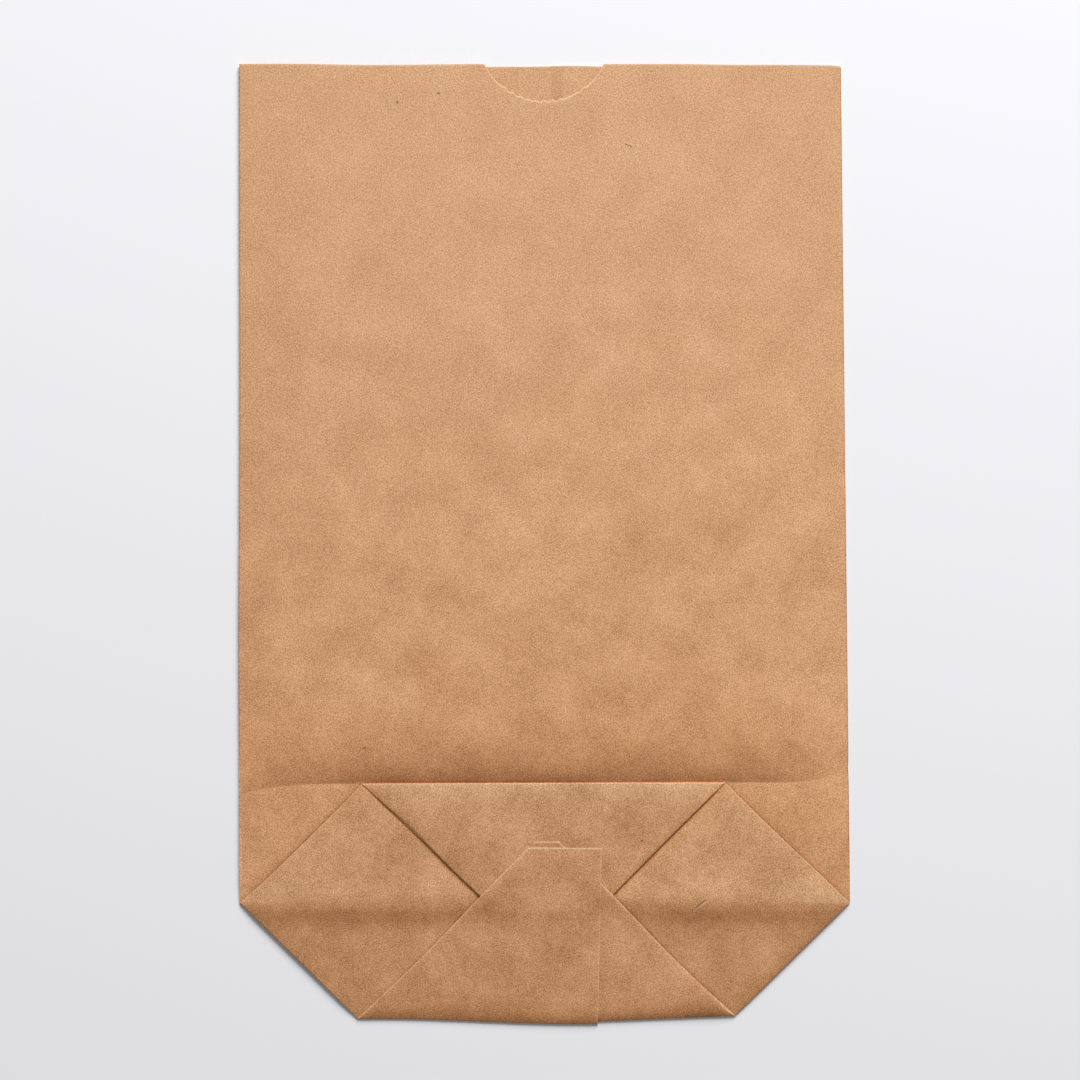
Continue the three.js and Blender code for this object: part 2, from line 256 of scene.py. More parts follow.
# %% Free heights of the walls
FRONT_LOW = 0.36
LEFT_RAISED = 0.6
LEFT_RUN = 8.0
SIDE_TILT = {-1: 0.006, 1: 0.004}
TILT_HIGH = {-1: 1.0, 1: 0.7}
LEAST_SPAN = 0.01
SPRING_SHORT, SHORT_RUN = 2.15, 5.4
SIDE_RUN, SIDE_FROM, SIDE_OVER = 5, 45, 30
SPRING_LONG, LONG_RUN = 1.4, 25
FALL_TO_MOUTH, FALL_POWER = 3.0, 1.3
WALL_LENGTH = 195.0
SECTION_POWER = {-1: 2.2, 1: 3.2}
FULLER_LOW, FULLER_RUN = 2.5, 15
WALL_RIPPLES = ((0.50, 34, 1.7), (0.34, 17, 5.1), (0.14, 9, 2.6))
RIPPLE_RUN = 12
CALM_SHARE, CALM_BELOW, CALM_RUN = 0.45, 75, 60
PRESSED_BESIDE = {-1: 0.28, 1: 0.17}
PRESSED_RUN = 0.5
PRESSED_ABOVE, PRESSED_FADE = 1, 3
SEAM_RELAX = 4


def by_side(x, values):
    return np.where(x < 0, values[-1], values[1])


def waves(x, y, size, seed):
    flat = [noise.noise(Vector((a / size, b / size, seed))) for a, b in zip(x.ravel(), y.ravel())]
    return np.array(flat).reshape(x.shape)


def front_free(x, y):
    up = np.maximum(y - rise_start(x), 0)
    short = SHORT_RUN + SIDE_RUN * np.clip((np.abs(x) - SIDE_FROM) / SIDE_OVER, 0, 1)
    spring = SPRING_SHORT * (1 - np.exp(-up / short)) + SPRING_LONG * (1 - np.exp(-up / LONG_RUN))
    spring = spring - FALL_TO_MOUTH * (up / WALL_LENGTH) ** FALL_POWER
    fullness = by_side(x, SECTION_POWER) + FULLER_LOW * np.exp(-up / FULLER_RUN)
    section = 1 - np.minimum(np.abs(x) / HALF, 1) ** fullness
    lively = CALM_SHARE + (1 - CALM_SHARE) * np.clip((CALM_BELOW - y) / CALM_RUN, 0, 1)
    lively = (1 - np.exp(-up / RIPPLE_RUN)) * lively
    ripple = sum(deep * waves(x, y, size, seed) for deep, size, seed in WALL_RIPPLES)
    inside = np.minimum(square_line[-1].distance(x, y), square_line[1].distance(x, y))
    pressed = by_side(x, PRESSED_BESIDE) * np.exp(-np.maximum(-inside, 0) / PRESSED_RUN)
    pressed = pressed * np.clip((UPPER[-1][1] + PRESSED_ABOVE - y) / PRESSED_FADE, 0, 1)
    raised = LEFT_RAISED * (1 - np.exp(-up / LEFT_RUN)) * smooth(-x / HALF)
    beside = np.maximum(rise_start(x) - base_edge(x), LEAST_SPAN)
    high = by_side(x, TILT_HIGH)
    hump = high * np.tanh(by_side(x, SIDE_TILT) * beside ** 2 / high)
    tilted = hump * section * (1 - np.clip((rise_start(x) - y) / beside, 0, 1) ** 2)
    level = FRONT_LOW - pressed + raised + tilted
    return level + section * spring + lively * section ** 0.5 * ripple


def back_outer_free(x, y):
    return PAPER / 2 + 0 * x


def back_inner_free(x, y):
    return PAPER / 2 + PAPER * (1 - smooth((x - SEAM_SIDE) / SEAM_RELAX))


print("front wall, middle:", front_free(np.zeros(3), np.array([-60.0, 0.0, 130.0])).round(2), "mm")

# %% [markdown]
# The base is a low tent. The ply that turns up at the centre line holds it open there, so the two
# squares have a soft ridge across the middle, begin to fall just below it, and then drop quickly.
# The fall is given as a row of slopes and summed up, because it is the slope that the eye reads.

# %% Free heights of the squares
RIDGE = 1.6
RIDGE_PLACES = (-1.8, -0.5, 1.1, 1.6, 2.0, 2.5, 3.0, 3.5, 4.1, 5.4, 6.8, 8.2, 11.0, 20.0)
RIDGE_SLOPES = (0.0, 0.0, 0.01, 0.04, 0.14, 0.27, 0.315, 0.29, 0.24, 0.14, 0.07, 0.04, 0.015, 0.0)
CREST = {-1: 0.15, 1: 0.30}
CREST_ABOVE, CREST_WIDE, CREST_END = 1.6, 2.8, 12
TENT_END, TENT_SLOPE = 7, 0.99
TENT_DIP, DIP_HALF, DIP_RUN = 0.35, 40, 22
TURNED_GAP = 0.12
SQUARE_GAP = 0.44
SQUARE_LOW, SQUARE_SKEW, SKEW_RUN = 1.18, 0.08, 20
FLAP_PRESS, FLAP_PRESS_RUN = 0.16, 0.3
BASE_RIPPLE = 0.16
SQUARE_WAVES = {"size": 13, "seed": 9.4}
DROP_SAMPLES = 400
DROP_PLACES = np.linspace(RIDGE_PLACES[0], RIDGE_PLACES[-1], DROP_SAMPLES)
DROP_FALLS = np.cumsum(np.interp(DROP_PLACES, RIDGE_PLACES, RIDGE_SLOPES))
DROP_FALLS = (DROP_FALLS - DROP_FALLS[0]) / (DROP_FALLS[-1] - DROP_FALLS[0])


def drop(below):
    return np.interp(below, DROP_PLACES, DROP_FALLS)


def tent(x, y):
    top = np.minimum(upper_line(x), CENTRE + (HALF - np.abs(x)) * TENT_SLOPE)
    share = np.clip((top - y) / np.maximum(top - CENTRE, LEAST_SPAN), 0, 1)
    dip = TENT_DIP * np.clip((DIP_HALF - np.abs(x)) / DIP_RUN, 0, 1)
    along = (1 - np.exp(-(HALF - np.abs(x)) / TENT_END)) * (1 - dip)
    return RIDGE * along * share


def turned_free(x, y):
    return FRONT_LOW + TURNED_GAP + tent(x, y)


def square_free(x, y):
    ridge = FRONT_LOW + SQUARE_GAP + tent(x, np.maximum(y, CENTRE))
    low = SQUARE_LOW + SQUARE_SKEW * np.tanh(x / SKEW_RUN)
    pressed = FLAP_PRESS * np.exp(-np.maximum(-under_lower_flap(x, y), 0) / FLAP_PRESS_RUN)
    ripple = BASE_RIPPLE * waves(x, y, **SQUARE_WAVES)
    height = by_side(x, CREST) * smooth((HALF - np.abs(x)) / CREST_END)
    crest = height * np.exp(-(((y - CENTRE - CREST_ABOVE) / CREST_WIDE) ** 2))
    return ridge - np.maximum(ridge - low, 0) * drop(CENTRE - y) + crest - pressed + ripple


print("ridge:", round(float(square_free(np.array(50.0), np.array(CENTRE))), 2), "mm")

# %% [markdown]
# The upper flap lies over the squares with its edges rolled down, and sinks a little where it is
# covered. The lower flap bridges everything like a low arch. Paper can't pass through paper, so it is
# held at least a small gap above its bed, and a soft maximum keeps that from making a sharp line. The
# tucked plies lie in between.

# %% Free heights of the flaps
ROLLS = ((0.4, 0.55), (0.15, 2.2))
FLAP_LOW, FLAP_RISE, FLAP_RUN = 1.75, 1.23, 33
FLAP_FALL, COVERED_FALL, COVERED_SINK = 1.2, 0.7, 0.45
COVERED_FROM, COVERED_RUN, COVERED_SIDE = -82, 18, 6
END_PRESS, END_RUN = 0.3, 3.5
END_LEFT, END_RIGHT, END_EASE = -10, 21, 8
BED_OUTSIDE, BED_RUN = 5, 5.5
LEFT_FROM, LEFT_OVER = -38, 40
ARCH_LOW, ARCH_LEFT = 1.65, 0.45
ARCH_RISE, RISE_LESS_LEFT = 0.65, 0.2
ARCH_FROM, ARCH_RUN = 4, 32
TIP_GAP, TIP_FROM, TIP_RUN = 0.24, 33, 8
FLANK_GAP, FLANK_WIDE, FLANK_START = 0.54, 9, 6
LEAST_GAP, GAP_EASE = 0.25, 0.12
FLAP_RIPPLE = 0.18
UPPER_FLAP_WAVES = {"size": 17, "seed": 3.3}
LOWER_FLAP_WAVES = {"size": 15, "seed": 7.9}
TUCK_SHARE, TUCK_GAP = 0.45, 0.3


def upper_flap_free(x, y):
    down = upper_line(x) - y
    flank = np.maximum(under_upper_flap(x, y), 0)
    rolled = sum(deep * np.exp(-flank / run) for deep, run in ROLLS)
    covered = smooth((COVERED_FROM - y) / COVERED_RUN) * smooth(under_lower_flap(x, y) / COVERED_SIDE)
    fall = (FLAP_FALL - COVERED_FALL * covered) * drop(np.maximum(CENTRE - y, RIDGE_PLACES[0]))
    fall = fall + COVERED_SINK * covered
    above_end = np.maximum(y - LOWER_TIP[-1][1], 0)
    pressed = END_PRESS * np.exp(-above_end / END_RUN)
    pressed = pressed * smooth((x - END_LEFT) / END_EASE) * smooth((END_RIGHT - x) / END_EASE)
    level = FLAP_LOW + FLAP_RISE * np.clip(down / FLAP_RUN, 0, 1) - fall - rolled - pressed
    return level + BASE_RIPPLE * waves(x, y, **UPPER_FLAP_WAVES)


def bed_of_lower_flap(x, y):
    share = smooth((under_upper_flap(x, y) + BED_OUTSIDE) / BED_RUN)
    return square_free(x, y) + share * (upper_flap_free(x, y) - square_free(x, y))


def left_share(x):
    return 1 - smooth((x - LEFT_FROM) / LEFT_OVER)


def lower_flap_free(x, y):
    up = y - lower_line(x)[0]
    left = left_share(x)
    rise = (ARCH_RISE - RISE_LESS_LEFT * left) * smooth((up - ARCH_FROM) / ARCH_RUN)
    arch = ARCH_LOW + ARCH_LEFT * left + rise
    resting = bed_of_lower_flap(x, y)
    level = arch + (resting + TIP_GAP - arch) * smooth((up - TIP_FROM) / TIP_RUN)
    flank = np.maximum(under_lower_flap(x, y), 0)
    beside = np.exp(-((flank / FLANK_WIDE) ** 2))
    level = level + (resting + FLANK_GAP - level) * beside * smooth(up / FLANK_START)
    level = resting + LEAST_GAP + GAP_EASE * np.logaddexp(0, (level - resting - LEAST_GAP) / GAP_EASE)
    return level + FLAP_RIPPLE * waves(x, y, **LOWER_FLAP_WAVES)


def upper_tuck_free(x, y):
    return square_free(x, y) + TUCK_SHARE * (upper_flap_free(x, y) - square_free(x, y))


def lower_tuck_free(x, y):
    return lower_flap_free(x, y) - TUCK_GAP


print("lower flap:", round(float(lower_flap_free(np.array(0.0), np.array(CENTRE))), 2), "mm")

# %% [markdown]
# Now every fold gets its line, its height and its radius. First come the folds that each side has. The
# upper flap's flanks stand a little off the squares, which gives the dark lines beside them; a
# painted shadow on the squares deepens them. The slanted folds below the squares and the left
# crease are lifted off the table, most of all at the lower left.

# %% Folds at each side
SIDE_LIFT = {-1: 0.75, 1: 0.52}
FLANK_LIFT = {-1: 0.27, 1: 0.32}
FLANK_ROUND = {-1: 0.3, 1: 0.22}
FLANK_PINCH = {-1: 6.0, 1: 3.2}
SLANT_LIFT = {-1: 0.60, 1: 0.42}
TIP_HEIGHT = 1.0
LOWER_LIFT, LOWER_PINCH = 0.2, 5.0
HIGH = {
    "square_upper": 0.61, "upper_tuck": 0.78, "lower_tuck": 0.32,
    "upper_flap": 0.8, "lower_flap": 0.25, "inner_flap": 0.27,
}
ROUND = {
    "side": 0.22, "square_upper": 0.13, "square_lower": 0.2, "lower_flank": 0.13, "turn_up": 0.6,
    "upper_tuck": 0.07, "lower_tuck": 0.07, "upper_flap": 0.25, "lower_flap": 0.19, "inner_flap": 0.18,
}


def upper_flap_edge(side):
    return lambda x, y: square_free(x, y) + FLANK_LIFT[side]


def lower_flap_edge(x, y):
    return bed_of_lower_flap(x, y) + LOWER_LIFT


out, upp, low = (CORNER_HEIGHT[name] for name in ("outer", "upper", "lower"))
side_crease, square_upper, square_lower, upper_flank, lower_flank = {}, {}, {}, {}, {}
for side in (-1, 1):
    mouth_corner = (side * SIDE_TOP[side], MOUTH)
    side_crease[side] = Fold(
        lambda x, y, side=side: side_edge(y, side) - side * x,
        between(OUTER[side], mouth_corner, out, SIDE_LIFT[side], SIDE_LIFT[side]),
        ROUND["side"],
    )
    square_upper[side] = Fold(
        square_line[side].distance,
        between(OUTER[side], UPPER[side], out, HIGH["square_upper"], upp),
        ROUND["square_upper"],
    )
    square_lower[side] = Fold(
        slant_line[side].distance,
        between(OUTER[side], LOWER[side], out, SLANT_LIFT[side], low),
        ROUND["square_lower"],
    )
    upper_flank[side] = Fold(
        upper_flank_line[side].distance,
        between(UPPER[side], UPPER_TIP[side], upp, upper_flap_edge(side), TIP_HEIGHT, FLANK_PINCH[side]),
        FLANK_ROUND[side],
    )
    lower_flank[side] = Fold(
        lower_flank_line[side].distance,
        between(LOWER[side], (0, 0), low, lower_flap_edge, 0, LOWER_PINCH),
        ROUND["lower_flank"],
    )


print("flanks stand off the squares by", list(FLANK_LIFT.values()), "mm")

# %% [markdown]
# The other folds run across the bag. The folds of the tucked plies lie inside those of the flaps, so
# their lines sit a little behind.

# %% Folds across the bag
TUCK_BACK, TUCK_EASE = 0.3, 1.5
TURN_GAP = 0.06


def tuck_line(x, line, inward, corners):
    inside = np.minimum(np.maximum(x - corners[-1][0], 0), np.maximum(corners[1][0] - x, 0))
    return line + inward * TUCK_BACK * (1 - np.exp(-inside / TUCK_EASE))


def upper_tuck_line(x):
    return tuck_line(x, upper_line(x), -1, UPPER)


def lower_tuck_line(x):
    outer, inner = lower_line(x)
    behind = np.where(x < OUTER_EDGE_LOW[0], np.maximum(outer, inner), inner)
    left = np.exp(-np.maximum(x - LOWER[-1][0], 0) / TUCK_EASE)
    line = np.where(x < 0, behind + (outer - behind) * left, behind)
    return tuck_line(x, line, 1, LOWER)


def turn_up_height(x, y):
    share = 1 - np.exp(-(HALF - np.minimum(np.abs(x), HALF)) / TENT_END)
    return out + (FRONT_LOW + TURN_GAP + RIDGE / 2 - out) * share


def fold_across(name, distance, corners, left, right=None):
    right = left if right is None else right
    return Fold(distance, between(corners[-1], corners[1], left, HIGH[name], right), ROUND[name])


turn_up = Fold(lambda x, y: y - CENTRE, turn_up_height, ROUND["turn_up"])
upper_tuck_fold = fold_across("upper_tuck", lambda x, y: upper_tuck_line(x) - y, UPPER, upp)
lower_tuck_fold = fold_across("lower_tuck", lambda x, y: y - lower_tuck_line(x), LOWER, low)
upper_flap_fold = fold_across("upper_flap", lambda x, y: upper_line(x) - y, UPPER, upp)
lower_flap_fold = fold_across(
    "lower_flap", lambda x, y: y - lower_line(x)[0], {-1: LOWER[-1], 1: OUTER_EDGE_LOW},
    low, HIGH["lower_flap"],
)
inner_flap_fold = fold_across(
    "inner_flap", lambda x, y: y - lower_line(x)[1], {-1: (INNER_EDGE, INNER_LOW), 1: LOWER[1]},
    HIGH["inner_flap"], low,
)
print("turned up at the centre:", round(float(turn_up_height(np.array(0.0), CENTRE)), 2), "mm high")

# %% [markdown]
# A ply is made from Blender's grid primitive, the nearest thing to a blank piece of paper. Its rows
# and columns are slid to where the ply lies: close together at the folds and cut edges, where the
# paper turns, and wide apart in the open. Each ply also remembers where it was on the flat sheet, as
# a UV map, so that the grain will run through the paper as one piece. Four more numbers go with
# every point: how near a cut edge is, how near a crease that is worn and gets a painted highlight,
# how deep the paper's tone is, and how far the paper leans away from the window. From that lean the
# material paints shade and light into the colour: where the paper leans away, as if lit by other
# paper, it is painted a richer brown, and where it faces the window a little paler. Beside a flap's
# edge the lean is raised further, for a painted shadow.

# %% The grid of a ply
SHEET_SPAN = 500.0
WINDOW_TURN = np.radians(15)
LEAN_MOST = 0.24


# How far a surface turns away from the window. The material paints shade and light into the colour from
# it.
def lean_from_window(x, y, z):
    along_rows = np.stack([np.gradient(part, axis=0) for part in (x, y, z)])
    along_columns = np.stack([np.gradient(part, axis=1) for part in (x, y, z)])
    normal = np.cross(along_columns, along_rows, axis=0)
    normal = normal / np.maximum(np.linalg.norm(normal, axis=0), 1e-9) * np.sign(normal[2])
    lean = -(normal[0] * np.sin(WINDOW_TURN) + normal[1] * np.cos(WINDOW_TURN))
    return np.clip(lean, -LEAN_MOST, LEAN_MOST)


def laid_ply(name, x, y, z, flat, cut_edge=0.0, wear_and_highlight=0.0, depth=1.0, painted_shadow=0.0):
    rows, columns = x.shape
    bpy.ops.object.select_all(action="DESELECT")
    bpy.ops.mesh.primitive_grid_add(x_subdivisions=columns - 1, y_subdivisions=rows - 1, size=1)
    ply = bpy.context.object
    ply.name = name
    mesh = ply.data
    places = np.empty(len(mesh.vertices) * 3)
    mesh.vertices.foreach_get("co", places)
    places = places.reshape(-1, 3)
    column = np.rint((places[:, 0] + 0.5) * (columns - 1)).astype(int)
    row = np.rint((places[:, 1] + 0.5) * (rows - 1)).astype(int)
    askew = x + SKEW * (y - CENTRE)
    moved = np.stack([askew[row, column], y[row, column], z[row, column]], axis=1) * MM
    mesh.vertices.foreach_set("co", moved.ravel())
    corner = np.empty(len(mesh.loops), dtype=np.int32)
    mesh.loops.foreach_get("vertex_index", corner)
    flat_x, flat_y = flat(x, y)
    spots = np.stack([flat_x[row, column], flat_y[row, column]], axis=1) / SHEET_SPAN + 0.5
    while mesh.uv_layers:
        mesh.uv_layers.remove(mesh.uv_layers[0])
    mesh.uv_layers.new(name="sheet").data.foreach_set("uv", spots[corner].ravel())
    # The lean carries the painted shade and light; the share added here is a painted shadow beside a
    # flap.
    lean = lean_from_window(x, y, z) + painted_shadow
    for title, share in (("cut_edge", cut_edge), ("wear_and_highlight", wear_and_highlight), ("depth", depth), ("lean", lean)):
        numbers = mesh.attributes.new(title, "FLOAT", "POINT")
        numbers.data.foreach_set("value", np.broadcast_to(share, x.shape)[row, column].ravel())
    print(name, rows, "x", columns)
    return ply


def near(away, width=0.3):
    return np.exp(-((np.maximum(away, 0) / width) ** 2))


# %% [markdown]
# Plies that share a fold get the same divisions along it, so that their edges can be welded. The
# helper below gives steps that start small, grow to the widest that fits, and end small again. It
# finds that widest step by halving a range, as one would guess a number.

# %% Steps along a line
MOST_GROWTH = 40.0
HALVINGS = 80


def spaced(length, count, first, last, growth=1.6):
    steps = np.minimum(np.arange(count), MOST_GROWTH)
    limit = np.minimum(first * growth ** steps, last * growth ** steps[::-1])
    lo, hi = 0.0, length
    for _ in range(HALVINGS):
        widest = (lo + hi) / 2
        if np.minimum(limit, widest).sum() < length:
            lo = widest
        else:
            hi = widest
    sizes = np.minimum(limit, hi)
    return np.concatenate([[0], np.cumsum(sizes)]) / sizes.sum()


def point_rows(a, b, shares):
    return CreaseLine(a, b, 1).points(shares)


def ruled(left, right, across):
    (left_x, left_y), (right_x, right_y) = left, right
    x = left_x[:, None] + (right_x - left_x)[:, None] * across[None, :]
    y = left_y[:, None] + (right_y - left_y)[:, None] * across[None, :]
    return x, y


print("steps along 10 mm:", np.diff(10 * spaced(10, count=9, first=0.5, last=0.5)).round(2), "mm")

# %% [markdown]
# Now each line gets its divisions, from its rough length, the number of its steps and the sizes of
# the first and the last one, in millimetres. The front wall's rows also gather along the base, and a
# square's columns along the flaps that lie on it, because the paper is pressed down beside those
# edges. The columns in the middle of the front wall are even, for the teeth of the thumb notch.

# %% Rows and columns of the plies
NOTCH_MIDDLE = 1.1
NOTCH_HALF = 16.3
NOTCH_COLUMNS = 61
COVERED_ROWS = 7
LEAST_COVER = 0.6
LEAST_BAND = 0.8
CORNER_SHARE = 0.03

left_room = HALF + NOTCH_MIDDLE - NOTCH_HALF
right_room = HALF - NOTCH_MIDDLE - NOTCH_HALF
wall_left = -HALF + spaced(left_room, count=36, first=0.03, last=0.55) * left_room
notch_columns = NOTCH_MIDDLE + np.linspace(-NOTCH_HALF, NOTCH_HALF, NOTCH_COLUMNS)
wall_right = HALF - right_room + spaced(right_room, count=36, first=0.55, last=0.03) * right_room
across_front = (np.concatenate([wall_left[:-1], notch_columns, wall_right[1:]]) + HALF) / (2 * HALF)
covered_rows = np.linspace(0, 1, COVERED_ROWS)
beside_rows = spaced(30.0, count=22, first=0.1, last=0.25)
open_rows = spaced(MOUTH - UPPER[1][1], count=74, first=0.2, last=0.08)
square_down = spaced(31.5, count=24, first=0.5, last=0.05)
square_up = spaced(32.6, count=24, first=0.6, last=0.04)
seen_across = spaced(45.0, count=26, first=0.04, last=0.06, growth=2.0)
hidden_across = spaced(78.5, count=34, first=0.12, last=0.8)
flank_shares = np.concatenate(
    [CORNER_SHARE * seen_across[:-1], CORNER_SHARE + (1 - CORNER_SHARE) * hidden_across]
)
tuck_across = spaced(20.0, count=7, first=0.1, last=0.1)
outer_across = spaced(98.0, count=36, first=0.04, last=0.12)
inner_across = spaced(88.0, count=32, first=0.3, last=0.04)


def wall_rows(x):
    edge = np.maximum(base_edge(x), CENTRE + LEAST_COVER)[None, :]
    covered = CENTRE + (edge - CENTRE) * covered_rows[:-1, None]
    soft_crease = np.maximum(rise_start(x)[None, :], edge + LEAST_BAND)
    beside = edge + (soft_crease - edge) * beside_rows[:-1, None]
    in_the_open = soft_crease + (MOUTH - soft_crease) * open_rows[:, None]
    return np.concatenate([covered, beside, in_the_open])


wall_y = wall_rows(OUTER[-1][0] + (OUTER[1][0] - OUTER[-1][0]) * across_front)
side_rows = {-1: wall_y[:, 0], 1: wall_y[:, -1]}
print("columns", len(across_front), "rows", len(wall_y))

# %% [markdown]
# The sheet's own coordinates: the front wall keeps its place, and every fold mirrors what lies
# beyond it, so each ply is traced back over its folds to the flat sheet.

# %% From a ply back to the flat sheet
def front_flat(x, y):
    return x, y


def back_flat(side):
    return lambda x, y: (side * 2 * HALF - x, y)


def turned_flat(x, y):
    return x, 2 * CENTRE - y


def upper_flap_flat(x, y):
    return turned_flat(x, 2 * upper_line(x) - y)


def square_flat(side):
    return lambda x, y: turned_flat(side * (HALF - (y - CENTRE)), CENTRE + (HALF - side * x))


def upper_tuck_flat(side):
    return lambda x, y: square_flat(side)(x, 2 * upper_line(x) - y)


def lower_tuck_flat(side):
    return lambda x, y: square_flat(side)(x, 2 * LOWER[side][1] - y)


def lower_flap_flat(side):
    return lambda x, y: back_flat(side)(x, 2 * LOWER[side][1] - y)


print("sheet length:", round(MOUTH - upper_flap_flat(0.0, UPPER_TIP[1][1])[1], 1), "mm")

# %% [markdown]
# The front wall's upper edge dips into the thumb notch, a circle's arc with small pointed teeth
# along its lower part. A blade cuts it, and no two teeth are quite alike. The rows of the grid near
# the mouth are pulled down with that edge, so the teeth are real paper and not a picture of them.

# %% Mouth and thumb notch
NOTCH_DEPTH = 10.5
TOOTH_PITCH = 2.17
TOOTH_DEPTH = 0.55
TOOTH_USUAL, TOOTH_VARIES, TOOTH_BEAT = 0.85, 0.35, 2.3
TEETH_HALF, TEETH_FADE = 13, 2
MOUTH_RISE = 0.45
LEFT_DIP, LEFT_DIP_PLACE, LEFT_DIP_WIDE = 0.30, -43, 20
RIGHT_DIP, RIGHT_DIP_FROM, RIGHT_DIP_RUN = 0.28, 35, 25
CORNER_CLIP, CLIP_RUN = 0.4, 1.3
PULL_FROM = 96


def notch_dip(x):
    radius = (NOTCH_HALF ** 2 + NOTCH_DEPTH ** 2) / (2 * NOTCH_DEPTH)
    along = np.abs(x - NOTCH_MIDDLE)
    sweep = np.sqrt(np.maximum(radius ** 2 - np.minimum(along, NOTCH_HALF) ** 2, 0))
    phase = (x - NOTCH_MIDDLE) / TOOTH_PITCH
    uneven = TOOTH_DEPTH * (TOOTH_USUAL + TOOTH_VARIES * np.sin(TOOTH_BEAT * x))
    uneven = uneven * np.clip((TEETH_HALF - along) / TEETH_FADE, 0, 1)
    tooth = uneven * np.abs(2 * (phase - np.floor(phase)) - 1)
    return np.where(along < NOTCH_HALF, np.maximum(NOTCH_DEPTH - radius + sweep - tooth, 0), 0)


def mouth_line(x):
    wave = LEFT_DIP * np.exp(-(((x - LEFT_DIP_PLACE) / LEFT_DIP_WIDE) ** 2))
    wave = wave + RIGHT_DIP * smooth((x - RIGHT_DIP_FROM) / RIGHT_DIP_RUN)
    clipped = CORNER_CLIP * np.exp(-np.maximum(SIDE_TOP[1] - x, 0) / CLIP_RUN)
    return MOUTH_RISE - wave - clipped


def mouth_pull(y):
    return np.clip((y - PULL_FROM) / (MOUTH - PULL_FROM), 0, 1) ** 2


print("notch:", round(float(notch_dip(np.array(NOTCH_MIDDLE))), 1), "mm deep in the middle")

# %% [markdown]
# The front wall is the piece that is seen most. Its tone gets a little deeper from the mouth to the
# base. The soft crease beside the base is a little worn, and its pale line is partly a painted
# highlight.

# %% Front wall
DEEPEST, DEEP_BELOW, DEEP_RUN, DEEP_POWER = 0.8, 115, 180, 1.2
DEEPER_LOW, LOW_FROM, LOW_RUN = 0.1, -71, 10
CREASE_SPRING, TURN_SPRING = 0.4, 0.5
MOUTH_PALE, NOTCH_PALE, PALE_WIDE = 0.45, 0.4, 0.3
NOTCH_FROM = 0.2
SOFT_WEAR_AND_HIGHLIGHT, SOFT_WIDE = 0.5, 0.35


def wall_depth(y):
    return DEEPEST * np.clip((DEEP_BELOW - y) / DEEP_RUN, 0, 1) ** DEEP_POWER


left_x = -side_edge(wall_y, -1)
wall_x = left_x + (side_edge(wall_y, 1) - left_x) * across_front[None, :]
front_y = wall_y + mouth_pull(wall_y) * (mouth_line(wall_x) - notch_dip(wall_x))
front_z = settled(wall_x, front_y, front_free(wall_x, front_y), [
    (side_crease[-1], CREASE_SPRING), (side_crease[1], CREASE_SPRING), (turn_up, TURN_SPRING),
])
in_notch = MOUTH_PALE + NOTCH_PALE * (notch_dip(wall_x) > NOTCH_FROM)
# The soft crease's pale line: partly worn paper, partly a painted highlight.
soft_wear_and_highlight = SOFT_WEAR_AND_HIGHLIGHT * near(np.abs(front_y - rise_start(wall_x)), SOFT_WIDE)
front_wall = laid_ply(
    "front_wall", wall_x, front_y, front_z, front_flat,
    cut_edge=in_notch * near(front_y[-1:] - front_y, PALE_WIDE),
    wear_and_highlight=soft_wear_and_highlight * (np.abs(wall_x) > UPPER[1][0]),
    depth=wall_depth(front_y) + DEEPER_LOW * smooth((LOW_FROM - front_y) / LOW_RUN),
)

# %% [markdown]
# The back wall has two plies at the lap seam. The left wall's ply is outside, on the table, and the
# right wall's ply lies on it. Below the centre line both follow the slanted folds of the squares.
# At the mouth the back is a touch shorter than the front, with a small curl at the seam.

# %% Back wall
CURL, CURL_PLACE, CURL_WIDE = 0.28, 8.5, 5
BACK_SHORT = 0.12
SIDE_FADE = 8
FOLLOW_RUN = 20
BACK_SPRING, BOTTOM_SPRING = 2.5, 1.0
BACK_PALE, SEAM_PALE = 0.4, 0.15


def back_mouth(x, room):
    curl = CURL * np.exp(-(((x - CURL_PLACE) / CURL_WIDE) ** 2)) - BACK_SHORT
    return curl + (mouth_line(x) - curl) * np.exp(-room / SIDE_FADE)


def back_ply(name, side, free, seam_low, seam_high, across, bottom_fold):
    down_x, down_y = slant_line[side].points(square_down[::-1])
    edge_x = np.concatenate([down_x[:-1], side * side_edge(side_rows[side], side)])
    edge_y = np.concatenate([down_y[:-1], side_rows[side]])
    seam_share = (edge_y - edge_y[0]) / (MOUTH - edge_y[0])
    seam_x = seam_low[0] + (seam_high - seam_low[0]) * seam_share
    seam_y = seam_low[1] + (MOUTH - seam_low[1]) * seam_share
    ends = [(edge_x, edge_y), (seam_x, seam_y)]
    x, y = ruled(*ends[::-side], across)
    line = lower_line(x)[0 if side < 0 else 1]
    y = y + (line - y[0:1]) * np.clip(1 - (y - y[0:1]) / FOLLOW_RUN, 0, 1) ** 2
    room = np.maximum(side_edge(y, side) - side * x, 0)
    y = y + mouth_pull(y) * back_mouth(x, room)
    z = settled(x, y, free(x, y), [
        (side_crease[side], BACK_SPRING), (square_lower[side], BACK_SPRING),
        (bottom_fold, BOTTOM_SPRING),
    ])
    seam_edge = SEAM_PALE * near(np.abs(x - seam_x[:, None]))
    cut = np.maximum(BACK_PALE * near(y[-1:] - y), seam_edge)
    return laid_ply(name, x, y, z, back_flat(side), cut_edge=cut, depth=wall_depth(y))


back_outer = back_ply(
    "back_outer", -1, back_outer_free, OUTER_EDGE_LOW, SEAM_SIDE, outer_across, lower_flap_fold
)
back_inner = back_ply(
    "back_inner", 1, back_inner_free, (INNER_EDGE, INNER_LOW), INNER_EDGE, inner_across, inner_flap_fold
)

